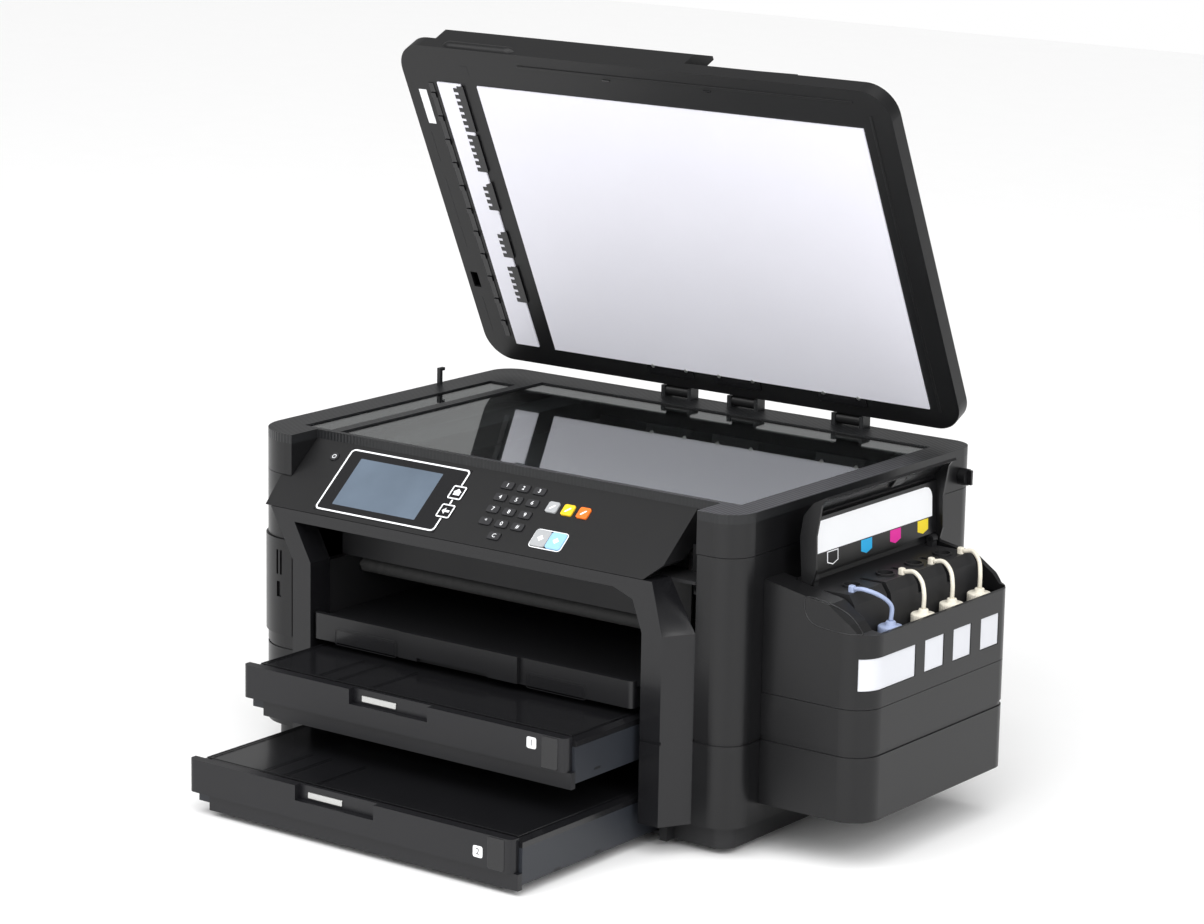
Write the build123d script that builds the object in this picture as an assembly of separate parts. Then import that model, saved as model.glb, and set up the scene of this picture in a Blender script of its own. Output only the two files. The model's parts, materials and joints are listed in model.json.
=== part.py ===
# Ink-tank office printer with a scanner, a document feeder and two paper cassettes.
# Millimetres, +Z up. The front faces -Y and the ink unit is on the +X side.
# Everything is built with the lids and drawers shut, from the body's left side (x = 0), the portal's
# front (y = 0) and the floor (z = 0). The drawers are then pulled out and the lids opened to the rest
# pose, and at the end the whole is moved so that its origin is the middle of its box, on the floor.
from build123d import *
import math
import os

os.makedirs("parts", exist_ok=True)

# Clearances
slide_gap = 0.3
seat_gap = 0.5
pin_gap = 0.05
skin_gap = 0.1

# Main body
body_width = 567.0
column_front = 28.0
body_rear = 428.0
cover_bottom = 28.0
parting_height = 275.0
scanner_height = 39.5
deck_height = parting_height + scanner_height
wall = 3.0
front_left_radius = 45.0
front_right_radius = 27.0
rear_radius = 25.0
groove_height = 104.0
groove_width = 3.0
groove_depth = 1.2
foot_height = 6.0
foot_radius = 10.0
foot_inset = 45.0
floor_thickness = 3.7
skirt_inset = 12.0
rim_height = 4.0

# Front portal
portal_left = 64.0
portal_right = body_width - 43.0
leg_chamfer = 16.0
leg_face = 22.0
lintel_bottom = parting_height - 35.0
shoulder_height = lintel_bottom - 37.0
lintel_corner = 32.0
lintel_flare = 20.0
portal_top_left = 53.0
portal_top_right = body_width - 71.0
column_step_height = parting_height - 29.0

# Paper bay
bay_wall = 8.0
engine_height = 75.0
bay_height = parting_height - engine_height
runner_width = 3.6
runner_height = 4.5
shelf_top = 82.7
shelf_thickness = 4.7
shelf_rear = 388.0

# Cassettes
cassette_left = 104.0
cassette_right = body_width - 89.0
cassette_rear = 385.0
cassette_front_back = -8.0
cassette_front_depth = 10.0
cassette_wall_height = 33.0
cassette_cover_height = 8.5
cassette_floor = 2.5
cassette_face_height = 31.0
cassette_lip_height = 15.0
cassette_lip_step = 4.0
cassette_overhang = 4.0
cassette_1_out = 75.0
cassette_2_out = 149.0
handle_width = 91.0
handle_left = 228.5
handle_height = 14.0
handle_depth = 6.5

# Output tray
output_right = cassette_right - 2.0
output_front = 2.0
output_rear = 250.0
output_bottom = 130.8
output_height = 19.0
output_lip = 25.0
lip_thickness = 6.0
tab_depth = 15.0
extension_left = 211.0
extension_right = 350.0
extension_height = 9.0
extension_rear = 226.0
flap_depth = 4.0

# Control panel
panel_depth = 65.0
panel_slope = 40.0
panel_thickness = 4.0
panel_bottom = parting_height - 23.5
panel_left = 46.0
panel_left_lean = 5.0
panel_right = body_width - 69.0
panel_corner = 12.0
panel_shelf = 27.0
screen_left = 102.0
screen_width = 144.4
screen_low = 5.5
screen_high = 80.3
screen_depth = 2.2
screen_proud = 0.4
key_proud = 1.3
key_gap = 0.4
key_flange = 1.0
number_pitch_across = 18.4
number_pitch_up = 14.15
number_left = 293.6
number_low = 28.3
number_width = 13.0
number_tall = 8.0
clear_key_up = 14.1
mode_left = 353.6
mode_pitch = 17.45
mode_up = 56.4
mode_width = 12.0
mode_tall = 12.0
start_left = 361.0
start_pitch = 17.3
start_up = 21.2
start_width = 16.7
start_tall = 18.4
power_across = 88.1
power_up = 66.9
power_radius = 4.5

# Card reader
reader_proud = 2.0
reader_low = 118.0
reader_high = 212.0
reader_right = 56.0
reader_reach = 74.0
card_slot_width = 2.5
card_slot_low = 177.0
card_slot_high = 201.0
card_slot_across = (36.0, 41.0)
front_usb_left = 36.5
front_usb_width = 6.0
front_usb_low = 155.0
front_usb_high = 170.0

# Print engine
inner_panel_front = 58.0
inner_panel_top = parting_height - 25.0
roller_drop = 12.0
roller_height = bay_height - roller_drop
shaft_radius = 4.0
shaft_end = 6.0
eject_roller_y = 78.0
eject_roller_radius = 7.0
feed_roller_y = 152.0
feed_roller_radius = 8.0
roller_end_gap = 4.0
platen_front = 90.0
platen_rear = 140.0
platen_drop = 4.0
platen_top = bay_height - platen_drop
platen_thickness = 10.0
rail_front = 150.0
rail_depth = 8.0
rail_foot = 30.0
rail_foot_height = 4.0
rail_top = parting_height - 13.0
rail_end = 20.0
belt_height = 6.0
carriage_left = 330.0
carriage_width = 100.0
carriage_front = 82.0
carriage_top = rail_top - belt_height - 6.0
head_gap = 0.8
belt_thickness = 1.4
pulley_radius = 4.0
belt_end = 46.0
belt_y = 141.0
station_width = 54.0
station_front = 85.0
station_rear = 145.0
station_low = 120.0

# Boards and sockets
board_thickness = 1.6
board_front = 170.0
board_low = 60.0
board_high = 190.0
post_length = 6.0
post_radius = 3.0
socket_depth = 20.0
socket_width = 22.0
socket_pitch = 26.0
socket_low = 78.0
socket_heights = (12.0, 12.0, 15.0, 13.0)
socket_mouths = ((10.0, 7.0), (10.0, 7.0), (12.0, 8.5), (8.6, 7.8))
socket_pocket = 13.0
supply_width = 58.0
supply_front = 230.0
supply_rear = 402.0
supply_low = 36.0
supply_high = 120.0
inlet_width = 30.0
inlet_height = 22.0
inlet_low = 60.0
inlet_mouth_width = 20.0
inlet_mouth_height = 9.0
inlet_pocket = 14.0
inlet_pin_radius = 1.2
inlet_pin_pitch = 8.6
inlet_pin_length = 8.0

# Rear unit
rear_unit_left = 150.0
rear_unit_right = 430.0
rear_unit_low = 90.0
rear_unit_high = 200.0
rear_unit_front = 395.0
rear_unit_rear = 468.0
rear_unit_radius = 14.0

# Scanner unit
tub_floor = 3.0
deck_thickness = 8.5
column_inner_left = 54.0
column_inner_right = portal_right - 1.0
glass_left = 78.0
glass_right = body_width - 27.0
glass_front = 71.0
glass_rear = 386.0
strip_left = 33.0
strip_right = 66.0
strip_rear = 358.0
glass_thickness = 3.0
glass_below_deck = 1.5
glass_ledge = 5.0
glass_gap = 0.2
scan_carriage_left = 96.0
scan_carriage_width = 38.0
scan_carriage_height = 22.0
scan_carriage_margin = 14.0
hook_x = 5.0
hook_y = 311.0
hook_width = 4.0
hook_height = 16.5
hook_reach = 4.0
lock_y = 399.0
lock_height = parting_height + 13.0
lock_radius = 8.0
lock_length = 8.0
lock_grip = 4.0
lock_pin_radius = 3.0
scanner_hinge_y = 433.0
scanner_hinge_at = (115.0, body_width - 115.0)
lug_width = 17.0
lug_radius = 5.0
lug_height = 12.0
lug_pin_radius = 2.5
ear_width = 6.0
ear_drop = 13.0

# Document cover
lid_open_angle = 64.48
lid_axis_y = 417.5
lid_axis_z = deck_height + 6.6
lid_left = -6.0
lid_right = body_width - 4.0
lid_front = 36.0
lid_rear = 408.0
lid_corner = 30.0
lid_bottom = deck_height + 2.1
lid_plate = 3.4
lid_height = 34.0
lid_rim = 12.0
lid_lean = 25.0
mat_thickness = 1.5
mat_left = 84.8
mat_right = lid_right - 33.0
mat_front = 76.0
mat_rear = 385.5
pad_left = 35.0
pad_right = 64.0
hinge_at = (227.0, 307.0, 430.0)
hinge_width = 27.0
hinge_radius = 6.0
hinge_pin_radius = 3.0
hinge_ear = 4.5
hinge_ear_half = 6.5
hinge_arm_front = 380.0
hinge_arm_thickness = 4.0

# Document feeder
feeder_left = 32.0
feeder_right = 330.0
feeder_front = 38.0
feeder_rear = 384.0
feeder_front_slope = 17.0
feeder_rear_slope = 14.0
feeder_foot = 13.0
feeder_face = 19.0
feeder_height = 24.0
feeder_wall = 4.0
hump_right = 168.0
hump_left = 34.0
hump_height = 39.0
hump_front_slope = 27.0
hump_rear_slope = 16.0
hump_pin_in = 6.0
hump_pin_lift = 6.0
hump_pin_radius = 2.0
hump_post_half = 3.2
hump_post_width = 6.0
hump_post_inset = 21.0
hump_relief = 3.0
hump_wall = 2.5
hump_round = 10.0
feeder_roller_x = 96.0
feeder_roller_radius = 8.0
feeder_roller_lift = 12.0
feeder_roller_margin = 30.0
bearing_width = 8.0
document_tray_left = 176.0
document_tray_right = 410.0
document_tray_margin = 22.0
document_tray_lift = 6.0
document_tray_thickness = 5.0
document_tray_rise = 6.0
document_pin_radius = 2.0
document_post_inset = 8.0
guide_width = 46.0
guide_height = 14.0
guide_thickness = 3.0
guide_left = 205.0
guide_half_gap = 105.0

# Ink unit
tank_width = 109.0
tank_drop = 23.0
tank_left = body_width + slide_gap
tank_right = body_width + tank_width
tank_front = 70.0
tank_rear = 318.0
tank_front_radius = 27.0
tank_rear_radius = 20.0
tank_bottom = 46.0
tank_top = parting_height - tank_drop
tank_rim = tank_top - 36.5
tank_shoulder = tank_left + 37.7
tank_shoulder_fall = 7.0
tank_bend = tank_right - 41.0
tank_bend_fall = 12.0
tank_knee = tank_right - 19.0
tank_knee_rise = 9.5
tank_foot = tank_right - 12.0
tank_foot_rise = 1.5
tank_slope_end = tank_right - 24.0
tank_rim_width = 6.0
tank_wall = 3.0
cheek_depth = 26.0
cheek_groove_low = 105.0
cheek_groove_height = 5.0
bottle_left = tank_left + 36.7
bottle_low = 60.0
bottle_high = tank_top - 55.0
window_tall = 29.5
window_high = bottle_high - 2.0
window_low = window_high - window_tall
tank_seam = window_low - 16.5
window_gap = 0.4
window_spans = ((75.0, 151.0), (166.5, 198.5), (214.5, 245.0), (262.0, 293.5))
bottle_margin = 4.0
well_floor = bottle_high + 6.0
well_left = tank_right - 28.0
port_x = tank_right - 55.0
port_y = (129.0, 184.0, 232.0, 281.0)
port_radius = 7.5
port_depth = 14.0
port_rim = 1.5
port_rim_height = 2.0
shelf_height = tank_top - 9.0
root_x = port_x + 11.0
root_y = (112.0, 194.0, 244.0, 295.0)
root_size = 6.0
bottle_gap_y = (157.0, 208.0, 257.0)
bottle_gap_width = 6.0
bottle_gap_left = port_x - 9.0
bottle_gap_low = shelf_height - 18.0
cap_x = tank_right - 16.0
cap_y = (133.0, 187.5, 236.0, 284.0)
cap_radius = 11.5
cap_height = 10.0
cap_bottom = well_floor + slide_gap
cap_boss_radius = 4.5
cap_boss_height = 4.0
cap_edge = 1.5
strap_diameter = 4.0

# Ink cover
cover_axis_x = tank_right - 80.0
cover_axis_z = tank_top - 2.0
cover_open_angle = 92.0
cover_front = 97.0
cover_rear = 311.0
cover_thickness = 2.5
cover_section = ((-4.0, 6.5), (0.0, 7.5), (38.0, 9.0), (58.0, 5.0), (70.0, -5.0), (77.0, -20.0))
cover_end_section = ((69.0, -14.0), (40.0, -8.0), (10.0, -8.0), (0.0, -5.0), (-3.5, -3.0))
cover_panel_section = ((5.0, -0.5), (54.0, -0.5), (54.0, 4.5), (38.0, 7.5), (5.0, 6.5))
cover_knuckle = 4.0
cover_stem_half = 3.0
cover_post_width = 8.0
cover_pin_radius = 2.0


# Small makers

def block(x0, x1, y0, y1, z0, z1):
    centre = Pos((x0 + x1) / 2, (y0 + y1) / 2, (z0 + z1) / 2)
    return centre * Box(x1 - x0, y1 - y0, z1 - z0)


def along_x(points, x0, x1):
    # A (y, z) outline carried along X.
    face = make_face(Polyline(*[(x0, y, z) for y, z in points], close=True))
    return extrude(face, amount=x1 - x0, dir=(1, 0, 0))


def along_y(points, y0, y1):
    # An (x, z) outline carried along Y.
    face = make_face(Polyline(*[(x, y0, z) for x, z in points], close=True))
    return extrude(face, amount=y1 - y0, dir=(0, 1, 0))


def rod_x(radius, x0, x1, y, z):
    return Pos((x0 + x1) / 2, y, z) * Rot(0, 90, 0) * Cylinder(radius, x1 - x0)


def rod_y(radius, y0, y1, x, z):
    return Pos(x, (y0 + y1) / 2, z) * Rot(90, 0, 0) * Cylinder(radius, y1 - y0)


def rod_z(radius, z0, z1, x, y):
    return Pos(x, y, (z0 + z1) / 2) * Cylinder(radius, z1 - z0)


def rounded_plan(x0, x1, y0, y1, radii):
    # A rectangle with its own radius at each corner: front left, front right, rear right, rear left.
    corners = [(x0, y0), (x1, y0), (x1, y1), (x0, y1)]
    plan = make_face(Polyline(*corners, close=True))
    for (x, y), radius in zip(corners, radii):
        if radius > 0:
            plan = fillet(plan.vertices().sort_by_distance((x, y, 0))[0], radius)
    return plan


def upright(plan, z0, z1):
    return extrude(Pos(0, 0, z0) * plan, amount=z1 - z0, dir=(0, 0, 1))


def body_plan(inset):
    radii = [r - inset for r in (front_left_radius, front_right_radius, rear_radius, rear_radius)]
    return rounded_plan(inset, body_width - inset, column_front + inset, body_rear - inset, radii)


def tank_plan(inset):
    radii = [0, tank_front_radius - inset, tank_rear_radius - inset, 0]
    return rounded_plan(tank_left, tank_right - inset, tank_front + inset, tank_rear - inset, radii)


def lid_plan(inset):
    return rounded_plan(
        lid_left + inset, lid_right - inset, lid_front + inset, lid_rear - inset,
        [lid_corner - inset] * 4,
    )


# The base: frame, feet, side and rear covers, portal

bay_left = portal_left + leg_chamfer + leg_face - 2
bay_right = portal_right - leg_chamfer - leg_face + 4
floor_top = foot_height + floor_thickness
bay_middle = (bay_left + bay_right) / 2


def base_frame():
    frame = upright(body_plan(skirt_inset), foot_height, floor_top)
    skirt = upright(body_plan(skirt_inset), foot_height, cover_bottom + 2)
    skirt -= upright(body_plan(skirt_inset + wall), foot_height, cover_bottom + 2)
    rim = upright(body_plan(wall + skin_gap), cover_bottom + 2, cover_bottom + 2 + rim_height)
    rim -= upright(body_plan(skirt_inset + wall), cover_bottom + 2, cover_bottom + 2 + rim_height)
    frame = frame + skirt + rim
    frame -= block(bay_left, bay_right, column_front, inner_panel_front, floor_top, bay_height)
    frame += block(bay_left - bay_wall, bay_left, column_front, body_rear - wall - 1, foot_height, bay_height)
    frame += block(
        bay_right, bay_right + bay_wall, column_front, body_rear - wall - 1, foot_height, bay_height,
    )
    runner_top = output_bottom - slide_gap
    for x0, x1 in ((bay_left, bay_left + runner_width), (bay_right - runner_width, bay_right)):
        frame += block(x0, x1, column_front + 4, output_rear, runner_top - runner_height, runner_top)
    for y in (eject_roller_y, feed_roller_y):
        frame -= rod_x(shaft_radius + pin_gap, bay_left - bay_wall, bay_right + bay_wall, y, roller_height)
    return frame


def rubber_feet():
    places = [
        (x, y)
        for x in (foot_inset, body_width - foot_inset)
        for y in (column_front + foot_inset, body_rear - foot_inset)
    ]
    return [rod_z(foot_radius, 0, foot_height, x, y) for x, y in places]


def side_ring():
    ring = upright(body_plan(0), cover_bottom, parting_height)
    ring -= upright(body_plan(wall), cover_bottom, parting_height)
    groove = upright(body_plan(-1), groove_height, groove_height + groove_width)
    groove -= upright(body_plan(groove_depth), groove_height, groove_height + groove_width)
    return ring - groove


def left_side_cover():
    middle = (column_front + body_rear) / 2
    zone = block(0, column_inner_left, column_front, middle, cover_bottom, parting_height)
    zone += block(0, portal_left, column_front, middle, cover_bottom, column_step_height)
    zone += block(0, rear_radius + wall, middle, body_rear, cover_bottom, parting_height)
    return side_ring() & zone


def right_side_cover():
    middle = (column_front + body_rear) / 2
    zone = block(portal_right, body_width, column_front, middle, cover_bottom, parting_height)
    zone += block(
        body_width - rear_radius - wall, body_width, middle, body_rear, cover_bottom, parting_height,
    )
    return side_ring() & zone


def socket_base(index):
    return socket_low + index * socket_pitch


def rear_cover():
    left = rear_radius + wall
    right = body_width - rear_radius - wall
    cover = block(left, right, body_rear - wall, body_rear, cover_bottom, parting_height - seat_gap)
    cover -= block(
        rear_unit_left - seat_gap, rear_unit_right + seat_gap, body_rear - wall, body_rear,
        rear_unit_low - seat_gap, rear_unit_high + seat_gap,
    )
    for index, height in enumerate(socket_heights):
        cover -= block(
            socket_left - slide_gap, socket_left + socket_width + slide_gap, body_rear - wall, body_rear,
            socket_base(index) - slide_gap, socket_base(index) + height + slide_gap,
        )
    cover -= block(
        inlet_left - slide_gap, inlet_left + inlet_width + slide_gap, body_rear - wall, body_rear,
        inlet_low - slide_gap, inlet_low + inlet_height + slide_gap,
    )
    for x in scanner_hinge_at:
        for side in (-1, 1):
            inner = x + side * (lug_width / 2 + slide_gap)
            outer = inner + side * ear_width
            low, high = sorted((inner, outer))
            ear = block(
                low, high, body_rear, scanner_hinge_y,
                scanner_hinge_z - ear_drop, scanner_hinge_z + lug_radius / 2,
            )
            ear += rod_x(lug_radius, low, high, scanner_hinge_y, scanner_hinge_z)
            ear -= block(low, high, body_rear - 1, body_rear + 1, parting_height - seat_gap, deck_height)
            cover += ear - rod_x(lug_pin_radius + pin_gap, low, high, scanner_hinge_y, scanner_hinge_z)
    return cover


def front_portal():
    # The legs lean back to the columns, so the front outline is narrower than the back one.
    high = panel_bottom - seat_gap
    outlines = []
    for y, step in ((0, leg_chamfer), (column_front, 0)):
        points = [
            (portal_left + step, cover_bottom), (portal_right - step, cover_bottom),
            (portal_right - step, shoulder_height), (portal_top_right, high),
            (portal_top_left, high), (portal_left + step, shoulder_height),
        ]
        outlines.append(make_face(Polyline(*[(x, y, z) for x, z in points], close=True)))
    left = portal_left + leg_chamfer + leg_face
    right = portal_right - leg_chamfer - leg_face
    opening = [
        (left, cover_bottom), (right, cover_bottom), (right, shoulder_height),
        (right - lintel_corner / 3, lintel_bottom - lintel_corner / 4),
        (right - lintel_corner, lintel_bottom),
        (left - lintel_flare, lintel_bottom), (left, shoulder_height),
    ]
    portal = loft(outlines, ruled=True) - along_y(opening, 0, column_front)
    return portal - block(
        portal_left, portal_right, -1, groove_depth, groove_height, groove_height + groove_width,
    )


# The paper bay: shelf, cassettes and output tray

def mid_shelf():
    return block(bay_left, bay_right, column_front + 2, shelf_rear, shelf_top - shelf_thickness, shelf_top)


def cassette_tray(floor):
    front = cassette_front_back
    top = floor + cassette_wall_height
    tray = block(cassette_left, cassette_right, front, cassette_rear, floor, top)
    tray -= block(
        cassette_left + wall, cassette_right - wall, front + wall, cassette_rear - wall,
        floor + cassette_floor, top,
    )
    return tray


def cassette_front(floor):
    back = cassette_front_back
    face = back - cassette_front_depth
    top = floor + cassette_wall_height + cassette_cover_height
    low = top - cassette_face_height
    left = cassette_left - cassette_overhang
    right = cassette_right - cassette_overhang
    plate = block(left, right, face, back, low, top)
    plate = fillet(plate.edges().filter_by(Axis.Z).group_by(Axis.Y)[0], 6)
    lip = block(left + 22, cassette_right, face + cassette_lip_step, back, low - cassette_lip_height, low)
    handle_right = handle_left + handle_width
    pocket = block(handle_left, handle_right, face, face + handle_depth, top - handle_height, top)
    return plate + lip - pocket


def cassette_cover(floor):
    base = floor + cassette_wall_height
    top = base + cassette_cover_height
    front = cassette_front_back
    outline = [
        (cassette_left, base), (cassette_right, base), (cassette_right, top - 3.5),
        (cassette_right - 6, top - 1),
        (cassette_left + 6, top - 1), (cassette_left, top - 3.5),
    ]
    cover = along_y(outline, front, cassette_rear)
    return cover - block(
        cassette_left + wall, cassette_right - wall, front + wall, cassette_rear - wall,
        base, top - 1 - cassette_floor,
    )


def output_tray():
    low, high = output_bottom, output_bottom + output_height
    left = cassette_left
    tray = block(left, output_right, output_front, output_rear, low, high)
    tray += block(left, output_right, output_front, output_front + lip_thickness, low, low + output_lip)
    tray = fillet(tray.edges().filter_by(Axis.Z).group_by(Axis.Y)[0], 5)
    tab_high = low + runner_height
    tray += block(bay_left + slide_gap, left, output_rear - tab_depth, output_rear, low, tab_high)
    tray += block(output_right, bay_right - slide_gap, output_rear - tab_depth, output_rear, low, tab_high)
    slot_low = low + (output_height - extension_height) / 2
    tray -= block(
        extension_left - slide_gap, extension_right + slide_gap, output_front - 1,
        extension_rear + slide_gap, slot_low - slide_gap, slot_low + extension_height + slide_gap,
    )
    return tray


def output_extension():
    low = output_bottom + (output_height - extension_height) / 2
    slab = block(
        extension_left, extension_right, output_front - slide_gap, extension_rear,
        low, low + extension_height,
    )
    flap = block(
        extension_left, extension_right, output_front - slide_gap - flap_depth, output_front - slide_gap,
        output_bottom + 1, output_bottom + output_lip + 1,
    )
    notch = block(
        extension_left + 22, extension_right - 34, output_front - slide_gap - flap_depth,
        output_front - slide_gap, output_bottom, output_bottom + 4,
    )
    return slab + flap - notch


# The control panel and its keys

panel_rise = panel_depth * math.tan(math.radians(panel_slope))
panel_top = panel_bottom + panel_rise
panel_normal = Vector(0, -panel_rise, panel_depth).normalized()
panel_plane = Plane(origin=(0, 0, panel_bottom), x_dir=(1, 0, 0), z_dir=panel_normal)


def on_panel(points, low, high):
    # An outline on the sloping face, in across and up, from one depth to another along its normal.
    face = make_face(Polyline(*points, close=True))
    return panel_plane * extrude(Pos(0, 0, low) * face, amount=high - low, dir=(0, 0, 1))


def rounded_key(across, up, width, tall, low, high, radius):
    plan = RectangleRounded(width, tall, radius)
    return panel_plane * extrude(Pos(across, up, low) * plan, amount=high - low, dir=(0, 0, 1))


def screen_outline(grow):
    left, right = screen_left - grow, screen_left + screen_width + grow
    low, high = screen_low - grow, screen_high + grow
    return [(left, low), (right, low), (right, high), (left, high)]


def number_places():
    places = [
        (number_left + column * number_pitch_across, number_low + row * number_pitch_up)
        for row in range(4)
        for column in range(3)
    ]
    return places + [(number_left + number_pitch_across, clear_key_up)]


mode_places = [(mode_left + index * mode_pitch, mode_up) for index in range(3)]
start_places = [(start_left + index * start_pitch, start_up) for index in range(2)]
flange_top = -panel_thickness - slide_gap
flange_low = flange_top - key_flange


def panel_outline(inset):
    # The panel's end view as (y, z): the sloping face, the upright back and the flat lower lip.
    drop = inset / math.cos(math.radians(panel_slope))
    return [
        (drop / math.tan(math.radians(panel_slope)), panel_bottom), (panel_depth, panel_top - drop),
        (panel_depth, parting_height + seat_gap), (panel_shelf, panel_bottom),
    ]


def control_panel():
    left = panel_left - panel_left_lean
    panel = along_x(panel_outline(0), left, panel_right)
    panel = panel - block(
        left, column_inner_left + seat_gap, column_front - seat_gap, panel_depth, 0, deck_height,
    )
    wedge = make_face(Polyline(
        (left, 0, panel_bottom), (panel_left, 0, panel_bottom), (left, 0, parting_height + 2), close=True,
    ))
    panel -= extrude(wedge, amount=panel_depth, dir=(0, 1, 0))
    end = make_face(Polyline(
        (panel_right, 0, panel_bottom), (panel_right - panel_corner, 0, panel_bottom),
        (panel_right, 0, panel_bottom + panel_corner), close=True,
    ))
    panel -= extrude(end, amount=panel_depth, dir=(0, 1, 0))
    hollow = along_x(panel_outline(panel_thickness), column_inner_left + seat_gap + wall, panel_right - wall)
    hollow -= block(0, body_width, 0, panel_depth, 0, panel_bottom + wall / 2)
    panel -= hollow
    panel -= on_panel(screen_outline(slide_gap), -screen_depth, 2)
    for across, up in number_places():
        panel -= rounded_key(
            across, up, number_width + 2 * key_gap, number_tall + 2 * key_gap, -panel_thickness - 1, 2, 2,
        )
    for across, up in mode_places:
        panel -= rounded_key(
            across, up, mode_width + 2 * key_gap, mode_tall + 2 * key_gap, -panel_thickness - 1, 2, 2,
        )
    for across, up in start_places:
        panel -= rounded_key(
            across, up, start_width + 2 * key_gap, start_tall + 2 * key_gap, -panel_thickness - 1, 2, 3,
        )
    hole = power_radius + key_gap
    return panel - rounded_key(
        power_across, power_up, 2 * hole, 2 * hole, -panel_thickness - 1, 2, hole - 0.01,
    )


def lcd_screen():
    return on_panel(screen_outline(0), -screen_depth, screen_proud)


def flanged_key(across, up, width, tall, radius):
    key = rounded_key(across, up, width, tall, flange_low, key_proud, radius)
    return key + rounded_key(across, up, width + 2, tall + 2, flange_low, flange_top, radius)


def number_keys():
    keys = [
        rounded_key(x, u, number_width, number_tall, flange_low, key_proud, 2)
        for x, u in number_places()
    ]
    across = [x for x, u in number_places()]
    up = [u for x, u in number_places()]
    web_width = max(across) - min(across) + number_width + 2
    web_tall = max(up) - min(up) + number_tall
    web = rounded_key(
        (max(across) + min(across)) / 2, (max(up) + min(up)) / 2, web_width, web_tall,
        flange_low, flange_top, 2,
    )
    for key in keys:
        web += key
    return web


def power_key():
    return flanged_key(power_across, power_up, 2 * power_radius, 2 * power_radius, power_radius - 0.01)


def card_reader_panel():
    panel = upright(body_plan(-reader_proud), reader_low, reader_high)
    panel -= upright(body_plan(-skin_gap), reader_low, reader_high)
    panel &= block(
        -reader_proud, reader_right, column_front - reader_proud, reader_reach, reader_low, reader_high,
    )
    for x in card_slot_across:
        panel -= block(x, x + card_slot_width, 0, reader_reach, card_slot_low, card_slot_high)
    return panel - block(
        front_usb_left, front_usb_left + front_usb_width, 0, reader_reach, front_usb_low, front_usb_high,
    )


# The print engine

def inner_front_panel():
    left, right = bay_left - bay_wall, bay_right + bay_wall
    rear = inner_panel_front + wall
    panel = block(left, right, inner_panel_front, rear, bay_height, inner_panel_top)
    panel += block(
        portal_left + 1, portal_right - 1, column_front, rear, inner_panel_top - wall, inner_panel_top,
    )
    return panel + block(
        panel_right + seat_gap, portal_right - 1, inner_panel_front, rear,
        inner_panel_top, parting_height - seat_gap,
    )


def paper_roller(y, radius):
    roller = rod_x(radius, bay_left + roller_end_gap, bay_right - roller_end_gap, y, roller_height)
    shaft = rod_x(
        shaft_radius, bay_left - shaft_end, bay_right + shaft_end, y, roller_height,
    )
    return roller + shaft


def platen():
    return block(bay_left, bay_right, platen_front, platen_rear, platen_top - platen_thickness, platen_top)


belt_low = carriage_top + 1


def carriage_rail():
    rail = block(
        rail_end, body_width - rail_end, rail_front, rail_front + rail_depth, bay_height, rail_top,
    )
    rail += block(
        rail_end, body_width - rail_end, rail_front, rail_front + rail_foot,
        bay_height, bay_height + rail_foot_height,
    )
    for x in (belt_end, body_width - belt_end):
        rail += block(
            x - pulley_radius, x + pulley_radius, belt_y - pulley_radius, rail_front,
            belt_low + belt_height, rail_top,
        )
    return rail


def carriage_belt():
    outer = pulley_radius + belt_thickness
    middle = Pos(body_width / 2, belt_y, belt_low)
    length = body_width - 2 * belt_end
    loop = extrude(SlotCenterToCenter(length, 2 * outer), amount=belt_height)
    loop -= extrude(SlotCenterToCenter(length, 2 * pulley_radius), amount=belt_height)
    pulleys = [
        rod_z(pulley_radius - slide_gap, belt_low, belt_low + belt_height, x, belt_y)
        for x in (belt_end, body_width - belt_end)
    ]
    return [middle * loop] + pulleys


def print_carriage():
    carriage = block(
        carriage_left, carriage_left + carriage_width, carriage_front, rail_front - slide_gap,
        bay_height + head_gap, carriage_top,
    )
    return fillet(carriage.edges().filter_by(Axis.X).group_by(Axis.Z)[-1].sort_by(Axis.Y)[0], 12)


def maintenance_unit():
    left = bay_right + bay_wall
    return block(left, left + station_width, station_front, station_rear, station_low, bay_height - 2)


socket_left = bay_left - bay_wall - post_length - board_thickness - socket_width
inlet_left = bay_right + bay_wall + 2


def main_board():
    face = bay_left - bay_wall - post_length
    board = block(
        face - board_thickness, face, board_front, body_rear - wall - 2, board_low, board_high,
    )
    for y in (board_front + 10, body_rear - 30):
        for z in (board_low + 10, board_high - 10):
            board += rod_x(post_radius, face, face + post_length, y, z)
    for index, height in enumerate(socket_heights):
        low = socket_base(index)
        mouth, tall = socket_mouths[index]
        middle = socket_left + socket_width / 2
        socket = block(
            socket_left, socket_left + socket_width, body_rear - socket_depth, body_rear, low, low + height,
        )
        board += socket - block(
            middle - mouth / 2, middle + mouth / 2, body_rear - socket_pocket, body_rear,
            low + (height - tall) / 2, low + (height + tall) / 2,
        )
    return board


def power_supply():
    left = bay_right + bay_wall
    box = block(left, left + supply_width, supply_front, supply_rear, supply_low, supply_high)
    inlet = block(
        inlet_left, inlet_left + inlet_width, supply_rear, body_rear, inlet_low, inlet_low + inlet_height,
    )
    middle_x = inlet_left + inlet_width / 2
    middle_z = inlet_low + inlet_height / 2
    inlet -= block(
        middle_x - inlet_mouth_width / 2, middle_x + inlet_mouth_width / 2,
        body_rear - inlet_pocket, body_rear,
        middle_z - inlet_mouth_height / 2, middle_z + inlet_mouth_height / 2,
    )
    for side in (-1, 1):
        inlet += rod_y(
            inlet_pin_radius, body_rear - inlet_pocket, body_rear - inlet_pocket + inlet_pin_length,
            middle_x + side * inlet_pin_pitch / 2, middle_z,
        )
    return box + inlet


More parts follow.
